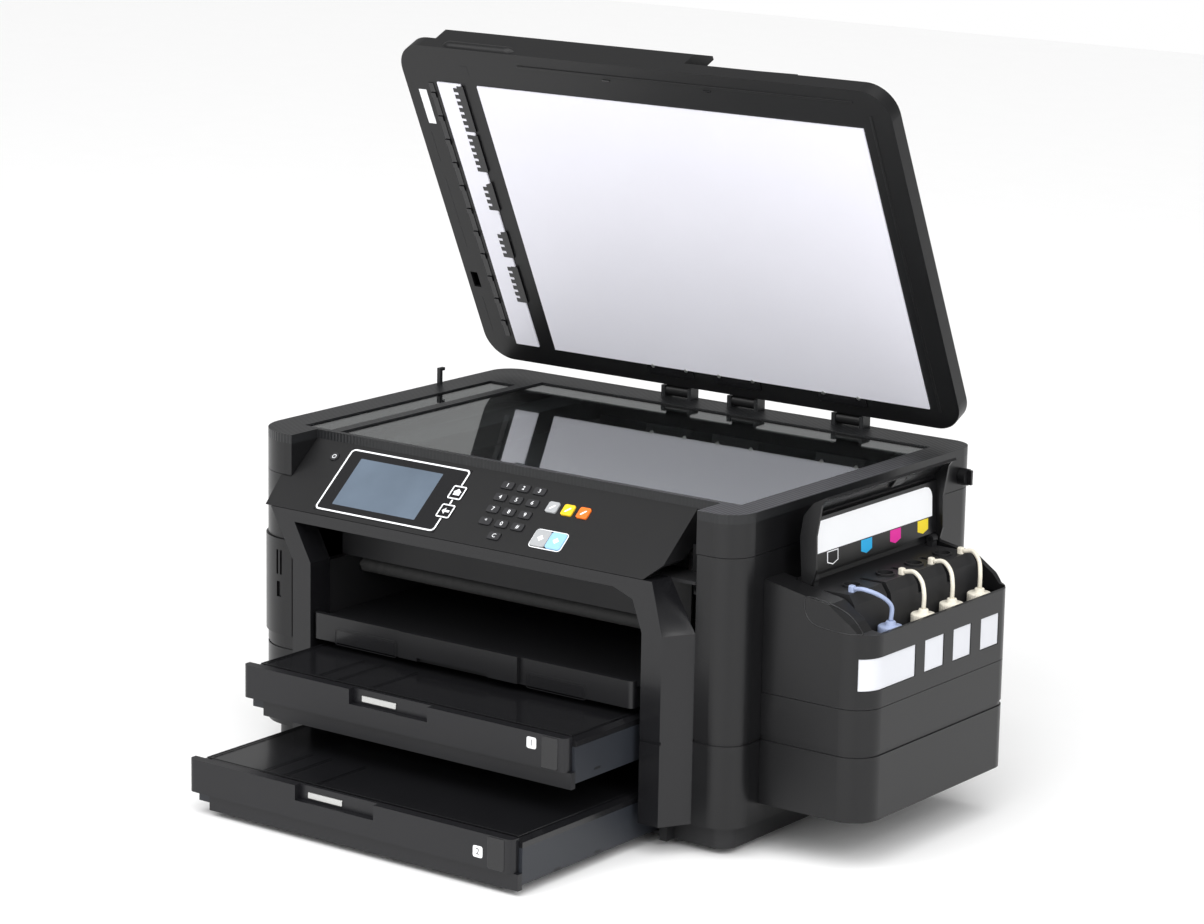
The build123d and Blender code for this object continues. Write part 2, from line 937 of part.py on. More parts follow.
def rear_unit():
    unit = block(
        rear_unit_left, rear_unit_right, rear_unit_front, rear_unit_rear, rear_unit_low, rear_unit_high,
    )
    unit = fillet(unit.edges().filter_by(Axis.X).group_by(Axis.Y)[-1], rear_unit_radius)
    for x in (rear_unit_left + 24, rear_unit_right - 24):
        unit -= block(
            x - 14, x + 14, rear_unit_rear - 8, rear_unit_rear, rear_unit_low + 40, rear_unit_high - 40,
        )
    return unit


# The scanner unit

tub_low = parting_height + seat_gap
tub_high = deck_height - deck_thickness
scanner_hinge_z = parting_height + seat_gap / 2


def scanner_plan(inset):
    # The body's plan with the control panel's place cut out of its front, between the two columns.
    left, right = column_inner_left - inset, column_inner_right + inset
    rear = panel_depth + inset
    cut = Pos((left + right) / 2, rear / 2) * Rectangle(right - left, rear)
    return body_plan(inset) - cut


def scanner_tub():
    tub = upright(scanner_plan(0), tub_low, tub_high)
    tub -= upright(scanner_plan(wall), tub_low + tub_floor, tub_high)
    for x in scanner_hinge_at:
        low, high = x - lug_width / 2, x + lug_width / 2
        lug = block(low, high, body_rear, scanner_hinge_y, tub_low, tub_low + lug_height)
        lug += rod_x(lug_radius, low, high, scanner_hinge_y, scanner_hinge_z)
        lug -= block(low, high, body_rear - 1, body_rear, 0, tub_low)
        pin_end = slide_gap + ear_width
        tub += lug + rod_x(
            lug_pin_radius, low - pin_end, high + pin_end, scanner_hinge_y, scanner_hinge_z,
        )
    return tub - rod_x(
        lock_pin_radius + pin_gap, body_width - wall, body_width, lock_y, lock_height,
    )


def glass_areas(inset):
    areas = ((glass_left, glass_right, glass_rear), (strip_left, strip_right, strip_rear))
    return [
        (left + inset, right - inset, glass_front + inset, rear - inset) for left, right, rear in areas
    ]


glass_top = deck_height - glass_below_deck


def scanner_top():
    top = upright(scanner_plan(0), tub_high, deck_height)
    for x0, x1, y0, y1 in glass_areas(0):
        top -= block(x0, x1, y0, y1, glass_top - glass_thickness, deck_height)
    for x0, x1, y0, y1 in glass_areas(glass_ledge):
        top -= block(x0, x1, y0, y1, tub_high, deck_height)
    hook = block(
        hook_x - hook_width / 2, hook_x + hook_width / 2, hook_y - hook_width / 2, hook_y + hook_width / 2,
        deck_height, deck_height + hook_height,
    )
    hook += block(
        hook_x - hook_width / 2, hook_x + hook_width / 2,
        hook_y - hook_width / 2, hook_y + hook_width / 2 + hook_reach,
        deck_height + hook_height - 3, deck_height + hook_height,
    )
    top += hook
    for x in hinge_at:
        for side in (-1, 1):
            inner = x + side * (hinge_width / 2 + slide_gap)
            low, high = sorted((inner, inner + side * hinge_ear))
            ear = block(
                low, high, lid_axis_y - hinge_ear_half, lid_axis_y + hinge_ear_half,
                deck_height, lid_axis_z + hinge_pin_radius + 2,
            )
            top += ear - rod_x(hinge_pin_radius + pin_gap, low, high, lid_axis_y, lid_axis_z)
    return top


def scanner_glass():
    return [
        block(x0, x1, y0, y1, glass_top - glass_thickness, glass_top)
        for x0, x1, y0, y1 in glass_areas(glass_gap)
    ]


def scan_carriage():
    low = tub_low + tub_floor + slide_gap
    return block(
        scan_carriage_left, scan_carriage_left + scan_carriage_width,
        panel_depth + scan_carriage_margin, body_rear - wall - scan_carriage_margin,
        low, low + scan_carriage_height,
    )


def transport_lock():
    face = body_width + slide_gap
    knob = rod_x(lock_radius, face, face + lock_length, lock_y, lock_height)
    knob += block(
        face + lock_length, face + lock_length + lock_grip, lock_y - 1.5, lock_y + 1.5,
        lock_height - lock_radius + 1, lock_height + lock_radius - 1,
    )
    return knob + rod_x(lock_pin_radius, body_width - wall, face, lock_y, lock_height)


# The document cover, with the feeder on top of it

lid_plate_top = lid_bottom + lid_plate
lid_top = lid_plate_top + lid_height
feeder_top = lid_top + feeder_height
feeder_front_top = feeder_front + feeder_front_slope
feeder_rear_top = feeder_rear - feeder_rear_slope
hook_slot = (hook_x - 4.5, hook_x + 4.5, hook_y - 8, hook_y + 10)


def lid_frame():
    plate = upright(lid_plan(0), lid_bottom, lid_plate_top)
    x0, x1, y0, y1 = hook_slot
    return plate - block(x0, x1, y0, y1, lid_bottom, lid_plate_top)


def white_mat():
    low = lid_bottom - mat_thickness
    return [
        block(x0, x1, mat_front, mat_rear, low, lid_bottom)
        for x0, x1 in ((mat_left, mat_right), (pad_left, pad_right))
    ]


def lid_form(inset, top):
    # The lid's outside, or its hollow: an upright rim, then sides that lean in to a smaller flat top.
    rim_top = lid_plate_top + lid_rim
    low = Plane.XY.offset(rim_top) * lid_plan(inset)
    high = Plane.XY.offset(top) * lid_plan(inset + lid_lean)
    return upright(lid_plan(inset), lid_plate_top, rim_top) + loft([low, high], ruled=True)


def lid_shell():
    hollow = lid_form(wall, lid_top - wall)
    front, rear = feeder_front_top, feeder_rear_top
    foot = lid_plate_top + feeder_foot
    base = along_x(
        [
            (feeder_front, foot), (feeder_front, foot + feeder_face), (front, feeder_top), (rear, feeder_top),
            (feeder_rear, lid_top), (feeder_rear, foot),
        ],
        feeder_left, feeder_right,
    )
    shell = lid_form(0, lid_top) + base - hollow
    shell -= block(
        hump_right, feeder_right, front + feeder_wall, rear - feeder_wall, lid_top, feeder_top,
    )
    shell -= block(
        feeder_left, hump_pin_x + hump_post_half, front, rear, feeder_top - hump_relief, feeder_top,
    )
    for y in (front + feeder_roller_margin, rear - feeder_roller_margin):
        low, high = y - bearing_width / 2, y + bearing_width / 2
        post = block(
            feeder_roller_x - bearing_width, feeder_roller_x + bearing_width, low, high,
            feeder_top, roller_z + 6,
        )
        shell += post - rod_y(shaft_radius + pin_gap, low, high, feeder_roller_x, roller_z)
    for y0, y1 in hump_posts():
        post = block(
            hump_pin_x - hump_post_half, hump_pin_x + hump_post_half, y0, y1,
            feeder_top - hump_relief, hump_pin_z + hump_post_half,
        )
        shell += post - rod_y(hump_pin_radius + pin_gap, y0, y1, hump_pin_x, hump_pin_z)
    low, high = front + document_post_inset, rear - document_post_inset
    for y0, y1 in ((low, low + feeder_wall), (high - feeder_wall, high)):
        post = block(
            document_pin_x - document_tray_thickness, document_pin_x + document_tray_thickness, y0, y1,
            lid_top, document_pin_z + document_tray_thickness,
        )
        shell += post - rod_y(document_pin_radius + pin_gap, y0, y1, document_pin_x, document_pin_z)
    for x in hinge_at:
        shell -= block(
            x - hinge_width / 2 - 1, x + hinge_width / 2 + 1, lid_rear - wall - 1, lid_rear,
            lid_plate_top, lid_plate_top + hinge_arm_thickness + slide_gap,
        )
    return shell


roller_z = feeder_top + feeder_roller_lift
hump_pin_x = hump_left + hump_pin_in
hump_pin_z = feeder_top + hump_pin_lift
document_pin_x = document_tray_left + document_tray_thickness
document_pin_z = feeder_top + document_tray_thickness


def hump_posts():
    front, rear = feeder_front_top + hump_post_inset, feeder_rear_top - hump_post_inset
    return (front, front + hump_post_width), (rear - hump_post_width, rear)


def hump_outline(inset):
    front, rear = feeder_front_top + 1, feeder_rear_top - 2
    low, high = feeder_top + seat_gap, feeder_top + hump_height
    return [
        (front + inset, low), (rear - inset, low), (rear - hump_rear_slope - inset, high - inset),
        (front + hump_front_slope + inset, high - inset),
    ]


def adf_cover():
    hump = along_x(hump_outline(0), hump_left, hump_right)
    hump = fillet(hump.edges().group_by(Axis.Z)[-1], hump_round)
    hollow = along_x(hump_outline(hump_wall), hump_left + hump_wall, hump_right - hump_wall)
    mouth = block(
        hump_right - hump_wall, hump_right, feeder_front_top + document_tray_margin,
        feeder_rear_top - document_tray_margin,
        feeder_top + seat_gap, feeder_top + hump_height - hump_rear_slope,
    )
    hump = hump - hollow - mouth
    for y0, y1 in hump_posts():
        hump -= block(
            hump_left, hump_left + hump_wall, y0 - seat_gap, y1 + seat_gap,
            feeder_top, hump_pin_z + hump_pin_in,
        )
    pin_front = feeder_front_top + 2 * hump_wall + 1
    pin_rear = feeder_rear_top - 2 * hump_wall
    return hump + rod_y(hump_pin_radius, pin_front, pin_rear, hump_pin_x, hump_pin_z)


def adf_rollers():
    front, rear = feeder_front_top, feeder_rear_top
    low, high = front + feeder_roller_margin, rear - feeder_roller_margin
    half = bearing_width / 2
    rollers = rod_y(shaft_radius, low - half, high + half, feeder_roller_x, roller_z)
    for share in (0.3, 0.5, 0.7):
        middle = low + (high - low) * share
        rollers += rod_y(feeder_roller_radius, middle - 18, middle + 18, feeder_roller_x, roller_z)
    return rollers


document_low = feeder_top + document_tray_lift


def tray_top_at(x):
    share = (x - document_tray_left) / (document_tray_right - document_tray_left)
    return document_low + document_tray_thickness + share * document_tray_rise


def adf_tray():
    front = feeder_front_top + document_tray_margin
    rear = feeder_rear_top - document_tray_margin
    tray = along_y(
        [
            (document_tray_left, document_low),
            (document_tray_right, document_low + document_tray_rise),
            (document_tray_right, tray_top_at(document_tray_right)),
            (document_tray_left, tray_top_at(document_tray_left)),
        ],
        front, rear,
    )
    foot = document_tray_left + 2 * document_tray_thickness
    reach = document_tray_margin - document_post_inset - feeder_wall - slide_gap
    for y0, y1 in ((front - reach, front), (rear, rear + reach)):
        tray += block(
            document_tray_left, foot, y0, y1, feeder_top + slide_gap, document_low + document_tray_thickness,
        )
        tray += rod_y(
            document_pin_radius, y0 - feeder_wall + slide_gap, y1 + feeder_wall - slide_gap,
            document_pin_x, document_pin_z,
        )
    return tray


def adf_guide(side):
    middle = (feeder_front_top + feeder_rear_top) / 2
    y = middle + side * guide_half_gap
    low, high = sorted((y, y + side * guide_thickness))
    guide = along_y(
        [
            (guide_left, tray_top_at(guide_left) + slide_gap),
            (guide_left + guide_width, tray_top_at(guide_left + guide_width) + slide_gap),
            (guide_left + guide_width, tray_top_at(guide_left + guide_width) + guide_height),
            (guide_left, tray_top_at(guide_left) + guide_height),
        ],
        low, high,
    )
    return guide


def lid_hinges():
    hinges = []
    for x in hinge_at:
        low, high = x - hinge_width / 2, x + hinge_width / 2
        knuckle = rod_x(hinge_radius, low, high, lid_axis_y, lid_axis_z)
        knuckle += block(
            low, high, hinge_arm_front, lid_axis_y, lid_plate_top, lid_plate_top + hinge_arm_thickness,
        )
        pin_end = slide_gap + hinge_ear
        hinges.append(knuckle + rod_x(
            hinge_pin_radius, low - pin_end, high + pin_end, lid_axis_y, lid_axis_z,
        ))
    return hinges


# The ink unit

deck_front = tank_front + cheek_depth + 5
deck_rear = cover_rear - cover_thickness - 1.5


def tank_base():
    base = upright(tank_plan(0), tank_bottom, tank_seam - seat_gap)
    base -= upright(tank_plan(tank_wall), tank_bottom + tank_wall, tank_seam - seat_gap)
    groove = upright(tank_plan(-1), cheek_groove_low, cheek_groove_low + cheek_groove_height)
    groove -= upright(tank_plan(groove_depth), cheek_groove_low, cheek_groove_low + cheek_groove_height)
    return base - groove


def tank_profile(lower):
    # The ink unit's end view: flat by the body, sloping down to the rim, as (x, z), lowered by a depth.
    return [
        (tank_left, tank_top - lower), (tank_shoulder, tank_top - tank_shoulder_fall - lower),
        (tank_bend, tank_top - tank_bend_fall - lower), (tank_knee, tank_rim + tank_knee_rise - lower),
        (tank_foot, tank_rim + tank_foot_rise - lower), (tank_right, tank_rim - lower),
    ]


def tank_cover():
    outline = [(tank_left, tank_seam)] + tank_profile(0) + [(tank_right, tank_seam)]
    cover = upright(tank_plan(0), tank_seam, tank_top) & along_y(outline, tank_front, tank_rear)
    cover -= upright(tank_plan(tank_wall), tank_seam, tank_rim - tank_rim_width)
    cover -= block(tank_left, tank_slope_end, deck_front, deck_rear, tank_seam, tank_top)
    cover -= block(
        tank_slope_end - 1, tank_right - tank_wall, deck_front, deck_rear,
        tank_rim - tank_rim_width - 1, tank_top,
    )
    slot_front, slot_rear = cover_front - seat_gap, cover_rear + seat_gap
    cover -= block(cover_axis_x - 14, tank_right - tank_wall, slot_front, slot_rear, well_floor, tank_top)
    for low, high in window_spans:
        cover -= block(tank_slope_end, tank_right + 1, low, high, window_low, window_high)
    return cover


def ink_tanks():
    tanks = []
    margin = tank_wall + skin_gap
    for low, high in window_spans:
        front = max(low - bottle_margin, tank_front + margin)
        rear = high + bottle_margin
        bottle = upright(tank_plan(margin), bottle_low, bottle_high)
        bottle &= block(bottle_left, tank_right, front, rear, bottle_low, bottle_high)
        pane = upright(tank_plan(tank_wall / 4), window_low + window_gap, window_high - window_gap)
        pane &= block(
            tank_slope_end + 1, tank_right, low + window_gap, high - window_gap, window_low, window_high,
        )
        tanks.append(bottle + pane)
    return tanks


def tank_deck():
    profile = [
        (tank_left, bottle_high), (tank_right - tank_wall - skin_gap, bottle_high),
        (tank_right - tank_wall - skin_gap, well_floor), (well_left, well_floor),
        (well_left - 6, shelf_height - 9), (well_left - 12, shelf_height), (tank_left, shelf_height),
    ]
    deck = along_y(profile, deck_front, deck_rear)
    deck &= upright(tank_plan(tank_wall + skin_gap), bottle_high, tank_top)
    for y in port_y:
        deck += rod_z(port_radius + port_rim, shelf_height, shelf_height + port_rim_height, port_x, y)
        deck -= rod_z(port_radius, shelf_height - port_depth, shelf_height + port_rim_height, port_x, y)
    for y in bottle_gap_y:
        low, high = y - bottle_gap_width / 2, y + bottle_gap_width / 2
        deck -= block(bottle_gap_left, tank_right, low, high, bottle_gap_low, shelf_height)
    half = cover_knuckle
    for y0, y1 in ((deck_front, deck_front + cover_post_width), (deck_rear - cover_post_width, deck_rear)):
        post = block(
            cover_axis_x - cover_stem_half, cover_axis_x + cover_stem_half, y0, y1,
            shelf_height, cover_axis_z,
        )
        post += rod_y(half, y0, y1, cover_axis_x, cover_axis_z)
        deck += post - rod_y(cover_pin_radius + pin_gap, y0, y1, cover_axis_x, cover_axis_z)
    return deck


def ink_cap(index):
    x, y = cap_x, cap_y[index]
    cap = rod_z(cap_radius, cap_bottom, cap_bottom + cap_height, x, y)
    cap = chamfer(cap.edges().group_by(Axis.Z)[-1], cap_edge)
    top = cap_bottom + cap_height
    return cap + rod_z(cap_boss_radius, top, top + cap_boss_height, x, y)


def strap_points(index):
    # From the moulded root beside the port, out over the deck's edge and down to the parked cap.
    root, cap = root_y[index], cap_y[index]
    level = shelf_height + root_size / 2
    top = cap_bottom + cap_height + cap_boss_height
    return [
        (root_x + root_size / 2, root, level),
        (root_x + 13, root, level + 1),
        (cap_x - 5, (root + cap) / 2, level - 5),
        (cap_x, cap, (level + top) / 2 - 1),
        (cap_x, cap, top),
    ]


def strap_radii(points):
    radii = []
    for before, here, after in zip(points, points[1:], points[2:]):
        run_in = Vector(*here) - Vector(*before)
        run_out = Vector(*after) - Vector(*here)
        half_turn = math.radians(run_in.get_angle(run_out)) / 2
        radii.append(0.45 * min(run_in.length, run_out.length) / math.tan(half_turn))
    return radii


def cap_straps():
    straps = []
    for index in range(len(cap_y)):
        points = strap_points(index)
        radii = strap_radii(points)
        path = FilletPolyline(*points, radius=radii)
        section = Plane(origin=path @ 0, z_dir=path % 0) * Circle(strap_diameter / 2)
        straps.append(sweep(section, path=path))
        area = math.pi * (strap_diameter / 2) ** 2
        print("strap", index + 1, "radii", [round(r, 1) for r in radii], "length", round(path.length, 1),
              "volume share", round(straps[-1].volume / (area * path.length), 4))
        half = root_size / 2
        x, y = root_x, root_y[index]
        straps.append(block(x - half, x + half, y - half, y + half, shelf_height, shelf_height + root_size))
    return straps


def cover_outline(inset):
    # The ink cover's section from its axis, in (out, up): a low crown that drops to the free edge. The
    # inset moves each point square to the line between its neighbours.
    outline = []
    last = len(cover_section) - 1
    for index, (out, up) in enumerate(cover_section):
        before = cover_section[max(index - 1, 0)]
        after = cover_section[min(index + 1, last)]
        run = Vector(after[0] - before[0], after[1] - before[1]).normalized()
        outline.append((out + run.Y * inset, up - run.X * inset))
    return outline


def ink_cover():
    outer = cover_outline(0)
    inner = cover_outline(cover_thickness)
    ring = outer + inner[::-1]
    x, z = cover_axis_x, cover_axis_z
    plate = along_y([(x + u, z + w) for u, w in ring], cover_front, cover_rear)
    ends = outer + list(cover_end_section)
    for y0, y1 in ((cover_front, cover_front + cover_thickness), (cover_rear - cover_thickness, cover_rear)):
        plate += along_y([(x + u, z + w) for u, w in ends], y0, y1)
    plate += along_y([(x + u, z + w) for u, w in cover_panel_section], cover_front, cover_rear)
    plate += rod_y(cover_pin_radius, cover_front, deck_front + cover_post_width, x, z)
    return plate + rod_y(cover_pin_radius, deck_rear - cover_post_width, cover_rear, x, z)


# Everything shut, by node

pieces = {
    "base_frame": base_frame(),
    "rubber_feet": rubber_feet(),
    "left_side_cover": left_side_cover(),
    "right_side_cover": right_side_cover(),
    "rear_cover": rear_cover(),
    "front_portal": front_portal(),
    "mid_shelf": mid_shelf(),
    "cassette_1_tray": cassette_tray(shelf_top + slide_gap),
    "cassette_1_front": cassette_front(shelf_top + slide_gap),
    "cassette_1_cover": cassette_cover(shelf_top + slide_gap),
    "cassette_2_tray": cassette_tray(floor_top + slide_gap),
    "cassette_2_front": cassette_front(floor_top + slide_gap),
    "cassette_2_cover": cassette_cover(floor_top + slide_gap),
    "output_tray": output_tray(),
    "output_extension": output_extension(),
    "control_panel": control_panel(),
    "lcd_screen": lcd_screen(),
    "number_keys": number_keys(),
    "power_key": power_key(),
    "interrupt_key": flanged_key(*mode_places[0], mode_width, mode_tall, 2),
    "reset_key": flanged_key(*mode_places[1], mode_width, mode_tall, 2),
    "stop_key": flanged_key(*mode_places[2], mode_width, mode_tall, 2),
    "start_mono_key": rounded_key(*start_places[0], start_width, start_tall, flange_low, key_proud, 3),
    "start_colour_key": rounded_key(*start_places[1], start_width, start_tall, flange_low, key_proud, 3),
    "card_reader_panel": card_reader_panel(),
    "inner_front_panel": inner_front_panel(),
    "eject_roller": paper_roller(eject_roller_y, eject_roller_radius),
    "feed_roller": paper_roller(feed_roller_y, feed_roller_radius),
    "platen": platen(),
    "carriage_rail": carriage_rail(),
    "carriage_belt": carriage_belt(),
    "print_carriage": print_carriage(),
    "maintenance_unit": maintenance_unit(),
    "main_board": main_board(),
    "power_supply": power_supply(),
    "rear_unit": rear_unit(),
    "scanner_tub": scanner_tub(),
    "scanner_top": scanner_top(),
    "scanner_glass": scanner_glass(),
    "scan_carriage": scan_carriage(),
    "transport_lock": transport_lock(),
    "lid_frame": lid_frame(),
    "white_mat": white_mat(),
    "lid_shell": lid_shell(),
    "lid_hinges": lid_hinges(),
    "adf_cover": adf_cover(),
    "adf_rollers": adf_rollers(),
    "adf_tray": adf_tray(),
    "adf_guide_front": adf_guide(-1),
    "adf_guide_rear": adf_guide(1),
    "tank_base": tank_base(),
    "tank_cover": tank_cover(),
    "ink_tanks": ink_tanks(),
    "tank_deck": tank_deck(),
    "ink_cover": ink_cover(),
    "cap_straps": cap_straps(),
}
for cap_number in range(len(cap_y)):
    pieces[f"ink_cap_{cap_number + 1}"] = ink_cap(cap_number)

# The rest pose: cassettes pulled out, document cover and ink cover open

lid_axis = Axis((0, lid_axis_y, lid_axis_z), (-1, 0, 0))
cover_axis = Axis((cover_axis_x, 0, cover_axis_z), (0, -1, 0))
lid_nodes = (
    "lid_frame", "white_mat", "lid_shell", "lid_hinges", "adf_cover", "adf_rollers", "adf_tray",
    "adf_guide_front", "adf_guide_rear",
)


def as_compound(shape):
    solids = []
    for one in shape if isinstance(shape, list) else [shape]:
        solids.extend(one.solids())
    return Compound(children=solids)


def at_rest(name, shape):
    if name in lid_nodes:
        return shape.rotate(lid_axis, lid_open_angle)
    if name == "ink_cover":
        return shape.rotate(cover_axis, cover_open_angle)
    if name.startswith("cassette_1"):
        return Pos(0, -cassette_1_out, 0) * shape
    if name.startswith("cassette_2"):
        return Pos(0, -cassette_2_out, 0) * shape
    return shape


rest = {name: at_rest(name, as_compound(shape)) for name, shape in pieces.items()}
boxes = [shape.bounding_box() for name, shape in rest.items()]
low_x, high_x = min(b.min.X for b in boxes), max(b.max.X for b in boxes)
low_y, high_y = min(b.min.Y for b in boxes), max(b.max.Y for b in boxes)
origin = Vector(-(low_x + high_x) / 2, -(low_y + high_y) / 2, 0)

for name, shape in rest.items():
    export_step(Pos(origin) * shape, f"parts/{name}.step")
print("nodes", len(rest), "origin shift", origin, "size", high_x - low_x, high_y - low_y)
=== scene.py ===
import bpy
import json
import math
import numpy as np
from mathutils import Matrix, Vector


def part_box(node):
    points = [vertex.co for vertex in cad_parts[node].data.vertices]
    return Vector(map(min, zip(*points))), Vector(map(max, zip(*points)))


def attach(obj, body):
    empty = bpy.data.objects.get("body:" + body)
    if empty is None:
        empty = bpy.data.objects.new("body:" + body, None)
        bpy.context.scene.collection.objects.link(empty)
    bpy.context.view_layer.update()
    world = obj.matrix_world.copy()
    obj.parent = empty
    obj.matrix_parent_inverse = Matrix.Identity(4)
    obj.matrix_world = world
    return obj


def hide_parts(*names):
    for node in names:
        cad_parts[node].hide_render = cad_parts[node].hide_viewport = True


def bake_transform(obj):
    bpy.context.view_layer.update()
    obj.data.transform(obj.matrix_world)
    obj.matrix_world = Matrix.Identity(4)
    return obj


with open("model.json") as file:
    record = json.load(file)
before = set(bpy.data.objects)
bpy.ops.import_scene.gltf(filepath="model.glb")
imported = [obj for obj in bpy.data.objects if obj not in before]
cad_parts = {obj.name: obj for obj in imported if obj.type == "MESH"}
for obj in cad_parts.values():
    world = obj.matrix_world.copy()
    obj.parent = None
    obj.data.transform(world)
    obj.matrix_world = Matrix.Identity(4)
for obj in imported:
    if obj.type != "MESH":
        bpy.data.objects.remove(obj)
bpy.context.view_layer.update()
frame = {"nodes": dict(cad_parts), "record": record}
nodes = frame["nodes"]
print("frame loaded:", len(nodes), "nodes")

# The build frame in millimetres, measured from the body's left side and the portal's front.
layout = {"bodyRight": 567.0, "bodyRear": 428.0, "panelBottom": 251.5, "panelSlope": 40.0,
          "lidAxisY": 417.5, "lidAxisZ": 321.1, "lidOpen": 64.48,
          "coverAxisX": 596.0, "coverAxisZ": 250.0, "coverOpen": 92.0}
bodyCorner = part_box("right_side_cover")[1] * 1000
rowShift = np.array([bodyCorner.x - layout["bodyRight"], bodyCorner.y - layout["bodyRear"], 0.0])


# Millimetres of the build frame moved to the row's origin, in metres.
def toRow(points):
    p = np.asarray(points, float)
    return (p + rowShift) / 1000.0


# Across and up the sloping panel, and out along its normal: y and z run along the slope.
def onPanel(points):
    p = np.asarray(points, float)
    a = math.radians(layout["panelSlope"])
    y = p[..., 1] * math.cos(a) - p[..., 2] * math.sin(a)
    z = layout["panelBottom"] + p[..., 1] * math.sin(a) + p[..., 2] * math.cos(a)
    return toRow(np.stack([p[..., 0], y, z], -1))


# A point of the shut document cover turned up about its hinge line.
def onLid(points):
    p = np.asarray(points, float)
    a = math.radians(layout["lidOpen"])
    dy, dz = p[..., 1] - layout["lidAxisY"], p[..., 2] - layout["lidAxisZ"]
    y = layout["lidAxisY"] + dy * math.cos(a) + dz * math.sin(a)
    z = layout["lidAxisZ"] - dy * math.sin(a) + dz * math.cos(a)
    return toRow(np.stack([p[..., 0], y, z], -1))


# Out from the ink cover's hinge line, along it and up, as on the shut cover, then turned open.
def onInkCover(points):
    p = np.asarray(points, float)
    a = math.radians(layout["coverOpen"])
    x = layout["coverAxisX"] + p[..., 0] * math.cos(a) - p[..., 2] * math.sin(a)
    z = layout["coverAxisZ"] + p[..., 0] * math.sin(a) + p[..., 2] * math.cos(a)
    return toRow(np.stack([x, p[..., 1], z], -1))


# One mesh object from points and faces, smooth where asked. In a mirrored frame the triangles' signed
# volumes about the middle add up to less than nothing, and the faces are turned to point outwards.
def makeObject(name, points, faces, material, smooth=False):
    mesh = bpy.data.meshes.new(name)
    spots = np.asarray(points, float).reshape(-1, 3)
    mesh.from_pydata([tuple(v) for v in spots], [], faces)
    mesh.validate()
    mesh.calc_loop_triangles()
    corners = np.zeros(3 * len(mesh.loop_triangles), np.int32)
    mesh.loop_triangles.foreach_get("vertices", corners)
    a, b, c = (spots - spots.mean(0))[corners].reshape(-1, 3, 3).transpose(1, 0, 2)
    if np.sum(a * np.cross(b, c)) < 0:
        mesh.flip_normals()
    mesh.materials.append(material)
    if smooth:
        mesh.polygons.foreach_set("use_smooth", np.ones(len(mesh.polygons), bool))
    mesh.update()
    obj = bpy.data.objects.new(name, mesh)
    bpy.context.scene.collection.objects.link(obj)
    return obj


# Quads between rows of a grid, closed round its second parameter, with an n-gon at each end.
def ringFaces(rows, count, caps=True):
    i, j = np.meshgrid(np.arange(rows - 1), np.arange(count), indexing="ij")
    k = (j + 1) % count
    quads = np.stack([i * count + j, i * count + k, (i + 1) * count + k, (i + 1) * count + j], -1)
    faces = [tuple(int(v) for v in q) for q in quads.reshape(-1, 4)]
    if caps:
        faces.append(tuple(range(count - 1, -1, -1)))
        faces.append(tuple(range((rows - 1) * count, rows * count)))
    return faces


# The least corner radius and straight run of a loop, and where a plate's edge bends, as a share of it.
loopShape = {"leastRadius": 0.05, "leastRun": 1e-3, "knee": 0.3}


# A rounded rectangle's edge: quarter circles of one radius round its four corner centres.
def roundedLoop(width, height, radius, steps=6):
    radius = min(radius, width / 2 - loopShape["leastRun"], height / 2 - loopShape["leastRun"])
    turn = np.linspace(0, math.pi / 2, steps)
    corners = np.array([[1, 1], [-1, 1], [-1, -1], [1, -1]]) * [width / 2 - radius, height / 2 - radius]
    angle = (np.arange(4) * math.pi / 2)[:, None] + turn[None, :]
    loop = corners[:, None, :] + radius * np.stack([np.cos(angle), np.sin(angle)], -1)
    return loop.reshape(-1, 2)


# A low plate: a rounded loop carried up a profile that turns in over a small edge. In the dictionaries
# a plate's form is its radius, low, high and edge.
def plate(name, place, centre, width, height, radius, low, high, edge, material, body, slotName):
    knee = loopShape["knee"] * edge
    profile = [(0.0, low), (0.0, high - edge), (knee, high - knee), (edge, high)]
    rows = []
    for inset, level in profile:
        corner = max(radius - inset, loopShape["leastRadius"])
        loop = roundedLoop(width - 2 * inset, height - 2 * inset, corner)
        rows.append(np.column_stack([loop + centre, np.full(len(loop), level)]))
    points = place(np.array(rows).reshape(-1, 3))
    obj = makeObject(name, points, ringFaces(len(rows), len(rows[0])), material)
    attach(obj, body)
    return obj


# A raised line that runs round a rounded rectangle: a small box profile carried round the loop. Its form
# is its radius, line, low and high.
def lineFrame(name, place, centre, width, height, radius, line, low, high, material, body, slotName):
    outer = roundedLoop(width, height, radius) + centre
    corner = max(radius - line, loopShape["leastRadius"])
    inner = roundedLoop(width - 2 * line, height - 2 * line, corner) + centre
    count = len(outer)
    rings = [np.column_stack([loop, np.full(count, level)])
             for loop, level in ((outer, low), (outer, high), (inner, high), (inner, low))]
    points = place(np.array(rings).reshape(-1, 3))
    faces = ringFaces(4, count, False)
    last = [(3 * count + j, 3 * count + (j + 1) % count, (j + 1) % count, j) for j in range(count)]
    obj = makeObject(name, points, faces + last, material)
    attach(obj, body)
    return obj


# A flat outline given a thickness: the same loop at two levels.
def slab(name, place, outline, low, high, material, body, slotName):
    loop = np.asarray(outline, float)
    rows = [np.column_stack([loop, np.full(len(loop), level)]) for level in (low, high)]
    obj = makeObject(name, place(np.array(rows).reshape(-1, 3)), ringFaces(2, len(loop)), material)
    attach(obj, body)
    return obj


